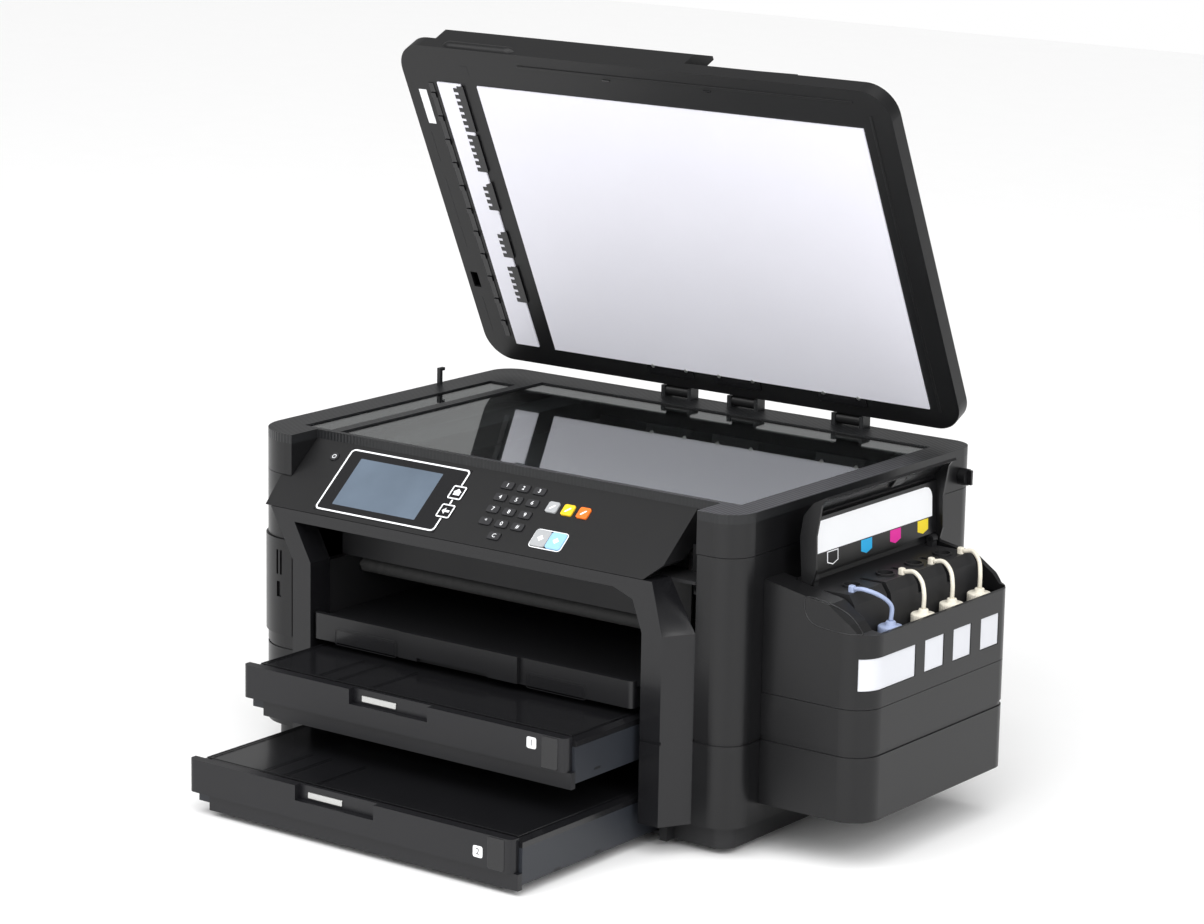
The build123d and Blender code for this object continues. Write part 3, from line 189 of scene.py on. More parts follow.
# Figures as a mesh: the built-in letter curve, filled, moved by a function of (x, y, height).
def figure(name, text, size, place, centre, low, material, body, halfDeep=0.04):
    curve = bpy.data.curves.new(name, "FONT")
    curve.body, curve.size, curve.align_x, curve.align_y = text, size, "CENTER", "CENTER"
    curve.extrude = halfDeep
    holder = bpy.data.objects.new(name + "Curve", curve)
    bpy.context.scene.collection.objects.link(holder)
    bpy.context.view_layer.update()
    mesh = bpy.data.meshes.new_from_object(holder.evaluated_get(bpy.context.evaluated_depsgraph_get()))
    bpy.data.objects.remove(holder)
    co = np.zeros(len(mesh.vertices) * 3)
    mesh.vertices.foreach_get("co", co)
    flat = co.reshape(-1, 3) + [centre[0], centre[1], low + halfDeep]
    mesh.vertices.foreach_set("co", place(flat).reshape(-1))
    mesh.materials.clear()
    mesh.materials.append(material)
    mesh.update()
    obj = bpy.data.objects.new(name, mesh)
    bpy.context.scene.collection.objects.link(obj)
    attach(obj, body)
    return obj


# A round tube: a circle carried along a route, each ring square to the run through its neighbours.
def tube(name, route, diameter, material, sides=14):
    path = np.asarray(route, float)
    run = np.gradient(path, axis=0)
    run /= np.linalg.norm(run, axis=1)[:, None]
    across = np.cross(run, [0.0, 0.0, 1.0])
    if np.linalg.norm(across[0]) < 1e-3:  # a route that starts upright
        across[0] = [1.0, 0.0, 0.0]
    for i in range(1, len(across)):
        across[i] = across[i - 1] - run[i] * (across[i - 1] @ run[i])
    across /= np.linalg.norm(across, axis=1)[:, None]
    other = np.cross(run, across)
    angle = np.linspace(0, 2 * math.pi, sides, endpoint=False)[None, :, None]
    ring = np.cos(angle) * across[:, None, :] + np.sin(angle) * other[:, None, :]
    points = path[:, None, :] + diameter / 2 * ring
    return makeObject(name, toRow(points), ringFaces(len(path), sides), material, True)


# A smooth line through its control points: each point is a cubic blend of four neighbours, and the line
# ends on the end points.
def smoothRoute(points, steps=10):
    p = np.asarray(points, float)
    p = np.vstack([2 * p[0] - p[1], p, 2 * p[-1] - p[-2]])
    t = np.linspace(0, 1, steps, endpoint=False)[:, None]
    runs = []
    for a, b, c, d in zip(p, p[1:], p[2:], p[3:]):
        square, cube = 2 * a - 5 * b + 4 * c - d, 3 * b - a - 3 * c + d
        runs.append(0.5 * (2 * b + (c - a) * t + square * t ** 2 + cube * t ** 3))
    return np.vstack(runs + [p[-2:-1]])


# A bar with a stepped top: a rectangle carried along its length, its height set at each station.
def steppedBar(name, place, left, right, stations, low, material, body):
    rows = [[(left, y, low), (right, y, low), (right, y, high), (left, y, high)] for y, high in stations]
    obj = makeObject(name, place(np.array(rows, float).reshape(-1, 3)), ringFaces(len(rows), 4), material)
    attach(obj, body)
    return obj


# Stations of a bar with square ribs: up, along and down again once in every pitch, with steps that lean.
def ribStations(start, end, pitch, share, base, top, lean=0.05):
    stations = [(start, base)]
    for k in range(int((end - start) / pitch)):
        y0, y1 = start + (k + 0.5 - share / 2) * pitch, start + (k + 0.5 + share / 2) * pitch
        stations += [(y0, base), (y0 + lean, top), (y1, top), (y1 + lean, base)]
    return stations + [(end, base)]


# Shared effects
grainLook = {"fineDetail": 3.0, "broadScale": 14.0, "broadDetail": 4.0, "bumpDepth": 0.0004,
             "coatRoughness": 0.08}
ribLook = {"scaleTimesPitch": 0.314, "depth": 0.001}  # in metres


# Fine moulded grain: noise makes a bump, a small colour drift and a small change of roughness.
def buildGrainGroup():
    group = bpy.data.node_groups.new("mouldedGrain", "ShaderNodeTree")
    face = group.interface
    for label, kind, value in (("Scale", "NodeSocketFloat", 900.0), ("Strength", "NodeSocketFloat", 0.15),
                               ("Base", "NodeSocketColor", (0.03, 0.03, 0.03, 1)),
                               ("Drift", "NodeSocketFloat", 0.15), ("Roughness", "NodeSocketFloat", 0.4)):
        face.new_socket(name=label, in_out="INPUT", socket_type=kind).default_value = value
    for label, kind in (("Color", "NodeSocketColor"), ("Roughness", "NodeSocketFloat"),
                        ("Normal", "NodeSocketVector")):
        face.new_socket(name=label, in_out="OUTPUT", socket_type=kind)
    add, link = group.nodes.new, group.links.new
    start, end = add("NodeGroupInput"), add("NodeGroupOutput")
    coords, fine, broad = add("ShaderNodeTexCoord"), add("ShaderNodeTexNoise"), add("ShaderNodeTexNoise")
    fine.inputs["Detail"].default_value = grainLook["fineDetail"]
    broad.inputs["Scale"].default_value = grainLook["broadScale"]
    broad.inputs["Detail"].default_value = grainLook["broadDetail"]
    link(coords.outputs["Object"], fine.inputs["Vector"])
    link(coords.outputs["Object"], broad.inputs["Vector"])
    link(start.outputs["Scale"], fine.inputs["Scale"])
    bump = add("ShaderNodeBump")
    bump.inputs["Distance"].default_value = grainLook["bumpDepth"]
    link(start.outputs["Strength"], bump.inputs["Strength"])
    link(fine.outputs["Fac"], bump.inputs["Height"])
    link(bump.outputs["Normal"], end.inputs["Normal"])
    spread = add("ShaderNodeMapRange")
    spread.inputs["To Min"].default_value = -1.0
    spread.inputs["To Max"].default_value = 1.0
    link(broad.outputs["Fac"], spread.inputs["Value"])
    gain = add("ShaderNodeMath")
    gain.operation = "MULTIPLY_ADD"
    link(spread.outputs["Result"], gain.inputs[0])
    link(start.outputs["Drift"], gain.inputs[1])
    gain.inputs[2].default_value = 1.0
    tint = add("ShaderNodeVectorMath")
    tint.operation = "SCALE"
    link(start.outputs["Base"], tint.inputs[0])
    link(gain.outputs[0], tint.inputs["Scale"])
    link(tint.outputs["Vector"], end.inputs["Color"])
    rough = add("ShaderNodeMath")
    rough.operation = "MULTIPLY"
    link(start.outputs["Roughness"], rough.inputs[0])
    link(gain.outputs[0], rough.inputs[1])
    link(rough.outputs[0], end.inputs["Roughness"])
    return group


grainGroup = buildGrainGroup()


# A moulded plastic or rubber: the grain group feeds colour, roughness and normal; the rest is set plainly.
def moulded(name, colour, roughness=0.4, scale=900.0, strength=0.15, drift=0.15, coat=0.0, metallic=0.0,
            specular=0.32):
    material = bpy.data.materials.new(name)
    material.use_nodes = True
    tree = material.node_tree
    shader = tree.nodes["Principled BSDF"]
    grain = tree.nodes.new("ShaderNodeGroup")
    grain.node_tree = grainGroup
    for label, value in (("Scale", scale), ("Strength", strength), ("Base", (*colour, 1)), ("Drift", drift),
                         ("Roughness", roughness)):
        grain.inputs[label].default_value = value
    tree.links.new(grain.outputs["Color"], shader.inputs["Base Color"])
    tree.links.new(grain.outputs["Roughness"], shader.inputs["Roughness"])
    tree.links.new(grain.outputs["Normal"], shader.inputs["Normal"])
    shader.inputs["Metallic"].default_value = metallic
    shader.inputs["Coat Weight"].default_value = coat
    shader.inputs["Coat Roughness"].default_value = grainLook["coatRoughness"]
    shader.inputs["Specular IOR Level"].default_value = specular
    return material


# Ribs on top of a moulding: a wave across one axis, one rib to a pitch, added as a second bump.
def addRibs(material, direction, pitch, strength):
    tree = material.node_tree
    shader, grain = tree.nodes["Principled BSDF"], next(n for n in tree.nodes if n.type == "GROUP")
    kinds = ("ShaderNodeTexCoord", "ShaderNodeTexWave", "ShaderNodeBump")
    coords, wave, bump = [tree.nodes.new(kind) for kind in kinds]
    wave.bands_direction = direction
    wave.inputs["Scale"].default_value = ribLook["scaleTimesPitch"] / pitch
    wave.inputs["Distortion"].default_value = 0.0
    bump.inputs["Distance"].default_value = ribLook["depth"]
    bump.inputs["Strength"].default_value = strength
    tree.links.new(coords.outputs["Object"], wave.inputs["Vector"])
    tree.links.new(wave.outputs["Fac"], bump.inputs["Height"])
    tree.links.new(grain.outputs["Normal"], bump.inputs["Normal"])
    tree.links.new(bump.outputs["Normal"], shader.inputs["Normal"])
    return material


# Clear glass for the scanner: light passes, with a thin cool tint and a polished face.
def clearGlass(name):
    material = moulded(name, (0.72, 0.78, 0.78), roughness=0.02, strength=0.0, drift=0.02)
    shader = material.node_tree.nodes["Principled BSDF"]
    shader.inputs["Transmission Weight"].default_value = 1.0
    shader.inputs["IOR"].default_value = 1.5
    return material


# Each finish: colour, roughness, grain scale, grain strength and drift; ribs add axis, pitch and strength.
finishes = {
    "body_black": moulded("bodyBlack", (0.006, 0.006, 0.0066), 0.3, 1400, 0.08, 0.12),
    "portal_black": moulded("portalBlack", (0.007, 0.007, 0.008), 0.26, 1500, 0.06, 0.1, coat=0.1),
    "panel_black": moulded("panelBlack", (0.006, 0.006, 0.0065), 0.45, 1800, 0.10, 0.1),
    "deck_grey": addRibs(moulded("deckGrey", (0.012, 0.0125, 0.0135), 0.38, 1400, 0.1, 0.12),
                         "X", 0.004, 0.25),
    "screen": moulded("screenBlack", (0.008, 0.008, 0.009), 0.12, 300, 0.0, 0.05, coat=0.3),
    "key_black": moulded("keyBlack", (0.02, 0.02, 0.022), 0.45, 2200, 0.08, 0.1),
    "key_grey": moulded("keyGrey", (0.36, 0.37, 0.38), 0.4, 2200, 0.08, 0.06),
    "key_yellow": moulded("keyYellow", (0.80, 0.52, 0.02), 0.4, 2200, 0.08, 0.06),
    "key_orange": moulded("keyOrange", (0.85, 0.17, 0.02), 0.4, 2200, 0.08, 0.06),
    "key_blue": moulded("keyBlue", (0.28, 0.52, 0.75), 0.4, 2200, 0.08, 0.06),
    "lid_black": moulded("lidBlack", (0.006, 0.006, 0.0065), 0.38, 1300, 0.12, 0.12),
    "mat_white": moulded("matWhite", (0.76, 0.755, 0.82), 0.55, 500, 0.04, 0.02),
    "platen_glass": clearGlass("scannerGlass"),
    "cassette_black": moulded("cassetteBlack", (0.009, 0.009, 0.0105), 0.32, 1300, 0.09, 0.12),
    "cassette_grey": moulded("cassetteGrey", (0.02, 0.0225, 0.028), 0.38, 1300, 0.1, 0.12),
    "cassette_smoke": moulded("cassetteSmoke", (0.008, 0.008, 0.009), 0.2, 900, 0.04, 0.12, coat=0.2),
    "tray_black": moulded("trayBlack", (0.009, 0.009, 0.010), 0.32, 1300, 0.09, 0.12),
    "frame_grey": moulded("frameGrey", (0.012, 0.012, 0.013), 0.5, 1300, 0.12, 0.12),
    "rubber_black": moulded("rubberBlack", (0.015, 0.015, 0.015), 0.8, 1200, 0.2, 0.1),
    "roller_rubber": addRibs(moulded("rollerRubber", (0.03, 0.03, 0.03), 0.75, 1200, 0.2, 0.1),
                             "X", 0.012, 0.5),
    "rail_steel": moulded("railSteel", (0.5, 0.5, 0.51), 0.32, 1500, 0.06, 0.05, metallic=1.0),
    "board_green": moulded("boardGreen", (0.02, 0.11, 0.04), 0.45, 700, 0.2, 0.2),
    "supply_metal": moulded("supplyMetal", (0.45, 0.46, 0.47), 0.4, 1500, 0.06, 0.05, metallic=1.0),
    "belt_rubber": moulded("beltRubber", (0.02, 0.02, 0.02), 0.7, 1200, 0.2, 0.1),
    "tank_white": moulded("tankWhite", (0.6, 0.61, 0.645), 0.28, 500, 0.03, 0.03),
    "cap_blue": moulded("capBlue", (0.32, 0.38, 0.55), 0.5, 1600, 0.1, 0.06),
    "cap_cream": moulded("capCream", (0.74, 0.70, 0.60), 0.5, 1600, 0.1, 0.06),
    "strap_cream": moulded("strapCream", (0.72, 0.68, 0.58), 0.55, 1600, 0.1, 0.06),
}
markWhite = moulded("markWhite", (0.85, 0.86, 0.88), 0.5, 800, 0.02, 0.03)
markBlack = moulded("markBlack", (0.006, 0.006, 0.007), 0.4, 800, 0.02, 0.05)
glossBlock = moulded("glossBlock", (0.006, 0.006, 0.007), 0.14, 900, 0.02, 0.08, coat=0.3)
# The display's glow is painted into its colour: a bright blue-grey that gives off no light, its brightness
# drifting softly.
displayGlow = moulded("displayGlow", (0.10, 0.13, 0.17), 0.12, 60, 0.0, 0.35, coat=0.4)  # a soft drift
stripSilver = moulded("stripSilver", (0.55, 0.55, 0.54), 0.3, 1500, 0.06, 0.06, metallic=1.0)
tagColours = {"white": markWhite,
              "cyan": moulded("tagCyan", (0.02, 0.38, 0.72), 0.5, 900, 0.03, 0.04),
              "magenta": moulded("tagMagenta", (0.72, 0.02, 0.32), 0.5, 900, 0.03, 0.04),
              "yellow": moulded("tagYellow", (0.86, 0.66, 0.02), 0.5, 900, 0.03, 0.04)}
slotOf = {part["node"]: part["material_slot"] for part in frame["record"]["subparts"]}
for nodeName, nodeObject in nodes.items():
    nodeObject.data.materials.clear()
    nodeObject.data.materials.append(finishes[slotOf[nodeName]])
print("finishes on the nodes:", len(finishes))


# An outline moved to its centre: the centre is added to every point.
def around(centre, outline):
    return np.asarray(outline, float) + centre


screen = {"left": 102.0, "right": 246.4, "low": 5.5, "high": 80.3, "top": 0.4, "sink": 0.1, "edge": 0.05,
          "inset": 1.0, "corner": 5.0, "line": 1.7, "lineProud": 0.12,
          "display": (119.0, 218.0, 14.5, 70.3), "displayCorner": 1.0, "displayProud": 0.1,
          "icons": ((245.2, 52.8), (245.2, 30.7)), "icon": 15.5, "iconCorner": 2.0, "iconLine": 1.4,
          "iconProud": 0.24, "fieldMargin": 1.6, "fieldCorner": 2.6, "fieldSink": 0.3, "fieldProud": 0.16,
          "house": ((-3.6, -3.0), (3.6, -3.0), (3.6, 0.6), (4.6, 0.6), (0.0, 4.4), (-4.6, 0.6), (-3.6, 0.6)),
          "arrow": ((-4.4, 0.0), (-0.6, -3.6), (-0.6, -1.2), (4.2, -1.2), (4.2, 1.2), (-0.6, 1.2),
                    (-0.6, 3.6))}


# The screen's border, picture and two touch marks: rounded frames, plates and outlines laid on the
# sloping panel.
def controlPanelMarks():
    white = (markWhite, "scanner_unit", "mat_white")
    top, icon = screen["top"], screen["icon"]
    low, markHigh = top - screen["sink"], top + screen["iconProud"]
    middle = ((screen["left"] + screen["right"]) / 2, (screen["low"] + screen["high"]) / 2)
    wide = screen["right"] - screen["left"] - screen["inset"]
    tall = screen["high"] - screen["low"] - screen["inset"]
    lineFrame("screenOutline", onPanel, middle, wide, tall, screen["corner"], screen["line"], low,
              top + screen["lineProud"], *white)
    x0, x1, t0, t1 = screen["display"]
    # The display plate carries the painted glow of a lit screen.
    plate("screenDisplay", onPanel, ((x0 + x1) / 2, (t0 + t1) / 2), x1 - x0, t1 - t0,
          screen["displayCorner"], low, top + screen["displayProud"], screen["edge"], displayGlow,
          "scanner_unit", "screen")
    field = icon + screen["fieldMargin"]
    for index, centre in enumerate(screen["icons"]):
        plate(f"touchField{index + 1}", onPanel, centre, field, field, screen["fieldCorner"],
              -screen["fieldSink"], top + screen["fieldProud"], screen["edge"], glossBlock,
              "scanner_unit", "screen")
        lineFrame(f"touchKey{index + 1}", onPanel, centre, icon, icon, screen["iconCorner"],
                  screen["iconLine"], low, markHigh, *white)
    for mark, centre in zip(("house", "arrow"), screen["icons"]):
        slab(mark + "Mark", onPanel, around(centre, screen[mark]), low, markHigh, *white)


controlPanelMarks()

keys = {"left": 293.6, "low": 28.3, "across": 18.4, "up": 14.15, "clearUp": 14.1, "size": 6.0,
        "figures": ("*0#", "789", "456", "123"), "proud": 1.3, "markSink": 0.1, "markProud": 0.08,
        "startAt": ((361.0, 21.2), (378.3, 21.2)),
        "diamond": ((-3.4, 0.0), (0.0, -3.4), (3.4, 0.0), (0.0, 3.4)),
        "modeAt": ((353.6, 56.4), (371.05, 56.4), (388.5, 56.4)),
        "bar": ((-2.6, -2.6), (-1.4, -2.6), (2.6, 1.4), (2.6, 2.6), (1.4, 2.6), (-2.6, -1.4)),
        "startFrame": (351.4, 387.9, 10.6, 31.8), "startForm": (4.0, 0.9, -0.2, 0.25),
        "powerAt": (88.1, 66.9), "ring": 4.6, "ringCorner": 2.29, "ringLine": 0.6}


# Figures on the key grid at left + column pitch and low + row pitch, then plain marks on the other keys.
def keyMarks():
    proud = keys["proud"]
    low, high = proud - keys["markSink"], proud + keys["markProud"]
    for row, text in enumerate(keys["figures"]):
        for column, mark in enumerate(text):
            centre = (keys["left"] + column * keys["across"], keys["low"] + row * keys["up"])
            label = {"*": "Star", "#": "Hash"}.get(mark, mark)
            figure("keyFigure" + label, mark, keys["size"], onPanel, centre, proud, markWhite,
                   "number_keys")
    figure("keyFigureC", "C", keys["size"], onPanel, (keys["left"] + keys["across"], keys["clearUp"]), proud,
           markWhite, "number_keys")
    for body, centre in zip(("start_mono_key", "start_colour_key"), keys["startAt"]):
        slab(body + "Mark", onPanel, around(centre, keys["diamond"]), low, high, markWhite, body, "mat_white")
    for body, centre in zip(("interrupt_key", "reset_key", "stop_key"), keys["modeAt"]):
        slab(body + "Mark", onPanel, around(centre, keys["bar"]), low, high, markWhite, body, "mat_white")
    x0, x1, t0, t1 = keys["startFrame"]
    lineFrame("startFrame", onPanel, ((x0 + x1) / 2, (t0 + t1) / 2), x1 - x0, t1 - t0, *keys["startForm"],
              markWhite, "scanner_unit", "mat_white")
    lineFrame("powerRing", onPanel, keys["powerAt"], keys["ring"], keys["ring"], keys["ringCorner"],
              keys["ringLine"], low, high, markWhite, "power_key", "mat_white")


keyMarks()
print("control panel marked")

cassettes = {"fronts": {"cassette_1": (-93.0, 124.5), "cassette_2": (-167.0, 51.5)}, "walls": (104.0, 478.0),
             "labelAt": 437.0, "labelDrop": {"cassette_1": 10.0, "cassette_2": 17.5}, "label": 10.5,
             "labelForm": (2.0, -0.2, 0.25, 0.1), "figureSize": 8.0, "figureLow": 0.25,
             "handleDepth": 6.5, "strip": (259.0, 8.3), "stripSize": (40.0, 6.0),
             "stripForm": (1.0, -0.1, 1.2, 0.4),
             "block": (457.0, 15.5), "blockSize": (18.0, 29.0), "blockForm": (2.0, -0.2, 0.5, 0.3),
             "slots": {"cassette_1": ((-51.0, 90.0),), "cassette_2": ((-107.0, 11.4), (-48.0, 12.3))},
             "slotSize": (9.0, 2.2), "slotForm": (0.6, -0.2, 0.12, 0.05),
             "ridges": (177.0, 200.0, 240.0), "ridgeBack": 48.0, "ridgeSize": (0.9, 72.0),
             "ridgeForm": (0.4, -0.3, 0.25, 0.1),
             "rimIn": 8.0, "rimWide": 1.6, "rimLong": 215.0, "rimBack": 120.0, "rimFront": 14.0,
             "rimForm": (0.6, -0.3, 0.5, 0.2)}


# A face looking forward: (x, z) on the plane of the front, and out towards -Y.
def facingFront(y):
    def place(points):
        p = np.asarray(points, float)
        return toRow(np.stack([p[..., 0], y - p[..., 2], p[..., 1]], -1))
    return place


# A face looking right: (y, z) on the plane of the side, and out towards +X.
def facingRight(x):
    def place(points):
        p = np.asarray(points, float)
        return toRow(np.stack([x + p[..., 2], p[..., 0], p[..., 1]], -1))
    return place


# A level face: (x, y) on the plane, and up from it.
def onTop(z):
    def place(points):
        p = np.asarray(points, float)
        return toRow(np.stack([p[..., 0], p[..., 1], z + p[..., 2]], -1))
    return place


# Marks and mouldings on both cassettes, all set from the front's plane and top edge: plates for the
# number, strip, latch block, side slots, ridges and rims.
def cassetteDetails():
    smoke = finishes["cassette_smoke"]
    wallLeft, wallRight = cassettes["walls"]
    label, rim, rimWide = cassettes["label"], cassettes["rimIn"], cassettes["rimWide"]
    for body, (y, top) in cassettes["fronts"].items():
        place, roof = facingFront(y), onTop(top)
        centre = (cassettes["labelAt"], top - cassettes["labelDrop"][body])
        plate(body + "Label", place, centre, label, label, *cassettes["labelForm"], markWhite, body,
              "mat_white")
        figure(body + "Figure", body[-1], cassettes["figureSize"], place, centre, cassettes["figureLow"],
               markBlack, body)
        x, drop = cassettes["strip"]
        plate(body + "Strip", facingFront(y + cassettes["handleDepth"]), (x, top - drop),
              *cassettes["stripSize"], *cassettes["stripForm"], stripSilver, body, "rail_steel")
        x, drop = cassettes["block"]
        plate(body + "Block", place, (x, top - drop), *cassettes["blockSize"], *cassettes["blockForm"],
              glossBlock, body, "cassette_smoke")
        for index, slotAt in enumerate(cassettes["slots"][body]):
            plate(f"{body}Slot{index + 1}", facingRight(wallRight), slotAt, *cassettes["slotSize"],
                  *cassettes["slotForm"], markBlack, body, "key_black")
        for index, x in enumerate(cassettes["ridges"]):
            plate(f"{body}Ridge{index + 1}", roof, (x, y + cassettes["ridgeBack"]), *cassettes["ridgeSize"],
                  *cassettes["ridgeForm"], smoke, body, "cassette_smoke")
        for side, x in (("Left", wallLeft + rim), ("Right", wallRight - rim)):
            plate(f"{body}Rim{side}", roof, (x, y + cassettes["rimBack"]), rimWide, cassettes["rimLong"],
                  *cassettes["rimForm"], smoke, body, "cassette_smoke")
        plate(f"{body}RimFront", roof, ((wallLeft + wallRight) / 2, y + cassettes["rimFront"]),
              wallRight - wallLeft - 2 * rim, rimWide, *cassettes["rimForm"], smoke, body, "cassette_smoke")


cassetteDetails()
print("cassettes detailed")

outputTray = {"front": 2.0, "panels": ((131.0, 206.0, 129.0, 145.0), (357.0, 425.0, 129.0, 144.0)),
              "panelForm": (3.0, 0.7, -0.2, 0.35), "fieldInset": 4.0, "fieldForm": (2.0, -0.2, 0.2, 0.1)}


# Two raised panels on the output tray's front: a rounded frame with a plate inside it.
def outputTrayDetails():
    place, inset = facingFront(outputTray["front"]), outputTray["fieldInset"]
    for index, (x0, x1, z0, z1) in enumerate(outputTray["panels"]):
        centre = ((x0 + x1) / 2, (z0 + z1) / 2)
        lineFrame(f"trayPanel{index + 1}", place, centre, x1 - x0, z1 - z0, *outputTray["panelForm"],
                  finishes["tray_black"], "output_tray", "tray_black")
        plate(f"trayField{index + 1}", place, centre, x1 - x0 - inset, z1 - z0 - inset,
              *outputTray["fieldForm"], finishes["portal_black"], "output_tray", "portal_black")


outputTrayDetails()
print("trays detailed")

inkUnit = {"capX": 660.0, "capY": (133.0, 187.5, 236.0, 284.0), "capLow": 203.3, "capHeight": 10.0,
           "capRadius": 11.5, "bossRadius": 4.5, "bossHeight": 4.0, "ribs": 28, "ribSteps": 6,
           "ribDepth": 0.35, "rootX": 632.0, "rootY": (112.0, 194.0, 244.0, 295.0), "rootSize": 6.0,
           "rootCorner": 2.2, "rootEdge": 1.2, "shelf": 243.0, "strap": 4.0,
           "capFinish": ("cap_blue", "cap_cream", "cap_cream", "cap_cream"),
           "strapFinish": ("cap_blue", "strap_cream", "strap_cream", "strap_cream")}


# A cap: a turned profile of radius against height, its radius rippled by a cosine of the angle on the skirt.
def capSurface(x, y):
    r, low, high = inkUnit["capRadius"], inkUnit["capLow"], inkUnit["capLow"] + inkUnit["capHeight"]
    boss, top = inkUnit["bossRadius"], high + inkUnit["bossHeight"]
    profile = np.array([[r - 0.6, low], [r - 0.1, low + 0.5], [r - 0.1, high - 1.6], [r - 0.5, high - 0.6],
                        [r - 1.5, high], [boss + 1.0, high], [boss + 0.2, high + 0.6], [boss, top - 0.8],
                        [boss - 0.7, top]])
    ripple = np.array([0, 1, 1, 0.5, 0, 0, 0, 0, 0])
    angle = np.linspace(0, 2 * math.pi, inkUnit["ribs"] * inkUnit["ribSteps"], endpoint=False)
    wave = 0.5 - 0.5 * np.cos(inkUnit["ribs"] * angle)
    radius = profile[:, :1] - inkUnit["ribDepth"] * ripple[:, None] * wave[None, :]
    height = np.repeat(profile[:, 1:], len(angle), 1)
    points = np.stack([x + radius * np.cos(angle), y + radius * np.sin(angle), height], -1)
    return points, len(profile), len(angle)


# The strap's route from its root out over the shelf and down to the cap: the solids' own points.
def strapRoute(index):
    root, cap = inkUnit["rootY"][index], inkUnit["capY"][index]
    level = inkUnit["shelf"] + inkUnit["rootSize"] / 2
    top = inkUnit["capLow"] + inkUnit["capHeight"] + inkUnit["bossHeight"]
    rootX, capX = inkUnit["rootX"], inkUnit["capX"]
    return [(rootX + inkUnit["rootSize"] / 2, root, level),
            (rootX + 13, root, level + 1),
            (capX - 5, (root + cap) / 2, level - 5),
            (capX, cap, (level + top) / 2 - 1),
            (capX, cap, top)]


# Each cap with its strap and root: the strap is a tube along a curved route from the chassis to the cap.
def inkCaps():
    size, shelf = inkUnit["rootSize"], inkUnit["shelf"]
    for index, (capSlot, strapSlot) in enumerate(zip(inkUnit["capFinish"], inkUnit["strapFinish"])):
        body = f"ink_cap_{index + 1}"
        points, rows, count = capSurface(inkUnit["capX"], inkUnit["capY"][index])
        cap = makeObject(f"cap{index + 1}", toRow(points), ringFaces(rows, count), finishes[capSlot], True)
        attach(cap, body)
        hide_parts(body)
        route = strapRoute(index)
        strap = tube(f"strap{index + 1}", smoothRoute(route), inkUnit["strap"], finishes[strapSlot])
        tuple(toRow(route[1]))
        tuple(toRow(route[-2]))
        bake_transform(strap)
        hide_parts("cap_straps")
        plate(f"strapRoot{index + 1}", toRow, (inkUnit["rootX"], inkUnit["rootY"][index]), size, size,
              inkUnit["rootCorner"], shelf, shelf + size, inkUnit["rootEdge"], finishes[strapSlot], "chassis",
              "strap_cream")


inkCaps()

cheek = {"front": 70.0, "right": 676.0, "radius": 27.0, "bead": 1.1, "sides": 8,
         "loop": ((610.4, 241.5), (611.0, 231.0), (616.0, 223.0), (624.0, 219.3), (637.0, 217.8),
                  (652.0, 217.2), (665.0, 217.4), (666.5, 219.5), (662.8, 227.0), (654.5, 235.6),
                  (638.6, 241.0), (622.0, 243.6), (613.0, 243.8), (610.4, 241.5))}


# A bead round the ink unit's front cheek: a tube along a smooth loop, whose depth follows the housing,
# flat and then a quarter circle at the corner.
def cheekBead():
    line = smoothRoute([(x, 0.0, z) for x, z in cheek["loop"]])
    over = np.maximum(line[:, 0] - (cheek["right"] - cheek["radius"]), 0.0)
    line[:, 1] = cheek["front"] + cheek["radius"] - np.sqrt(cheek["radius"] ** 2 - over ** 2)
    bead = tube("cheekBead", line, cheek["bead"], glossBlock, cheek["sides"])
    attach(bead, "chassis")


cheekBead()

# The skin's points are (out from the hinge line, level); the label and its tags lie on the flat panel.
inkLabel = {"skin": ((0.0, -0.5), (54.0, -0.5), (54.1, 3.3), (57.4, 2.5), (67.9, -6.3)),
            "low": 21.5, "high": 50.5, "front": 100.0, "rear": 302.0, "corner": 12.0, "frontShare": 0.3,
            "rows": 25, "sink": 0.2, "lift": 0.1,
            "tags": (("white", 135.0), ("cyan", 190.5), ("magenta", 239.0), ("yellow", 286.0)),
            "tagTop": 20.5, "tagTall": 13.0, "tagWide": 18.0, "tagPoint": 3.0, "tagSink": 0.3,
            "tagLift": 0.15, "centreShare": 0.86, "centreDrop": 0.8, "centreLift": 0.22,
            "latch": (234.0, 66.0), "latchSize": (20.0, 8.0), "latchForm": (1.5, -1.0, 3.5, 0.6)}


# The inside of the ink cover: straight runs between its points, flat and then falling to the free edge.
def innerSkin(out):
    stations, levels = np.transpose(inkLabel["skin"])
    return np.interp(out, stations, levels)


# A face on the inside of the ink cover: along the hinge, out from it, and down from the skin.
def insideCover(points):
    p = np.asarray(points, float)
    return onInkCover(np.stack([p[..., 1], p[..., 0], innerSkin(p[..., 1]) - p[..., 2]], -1))


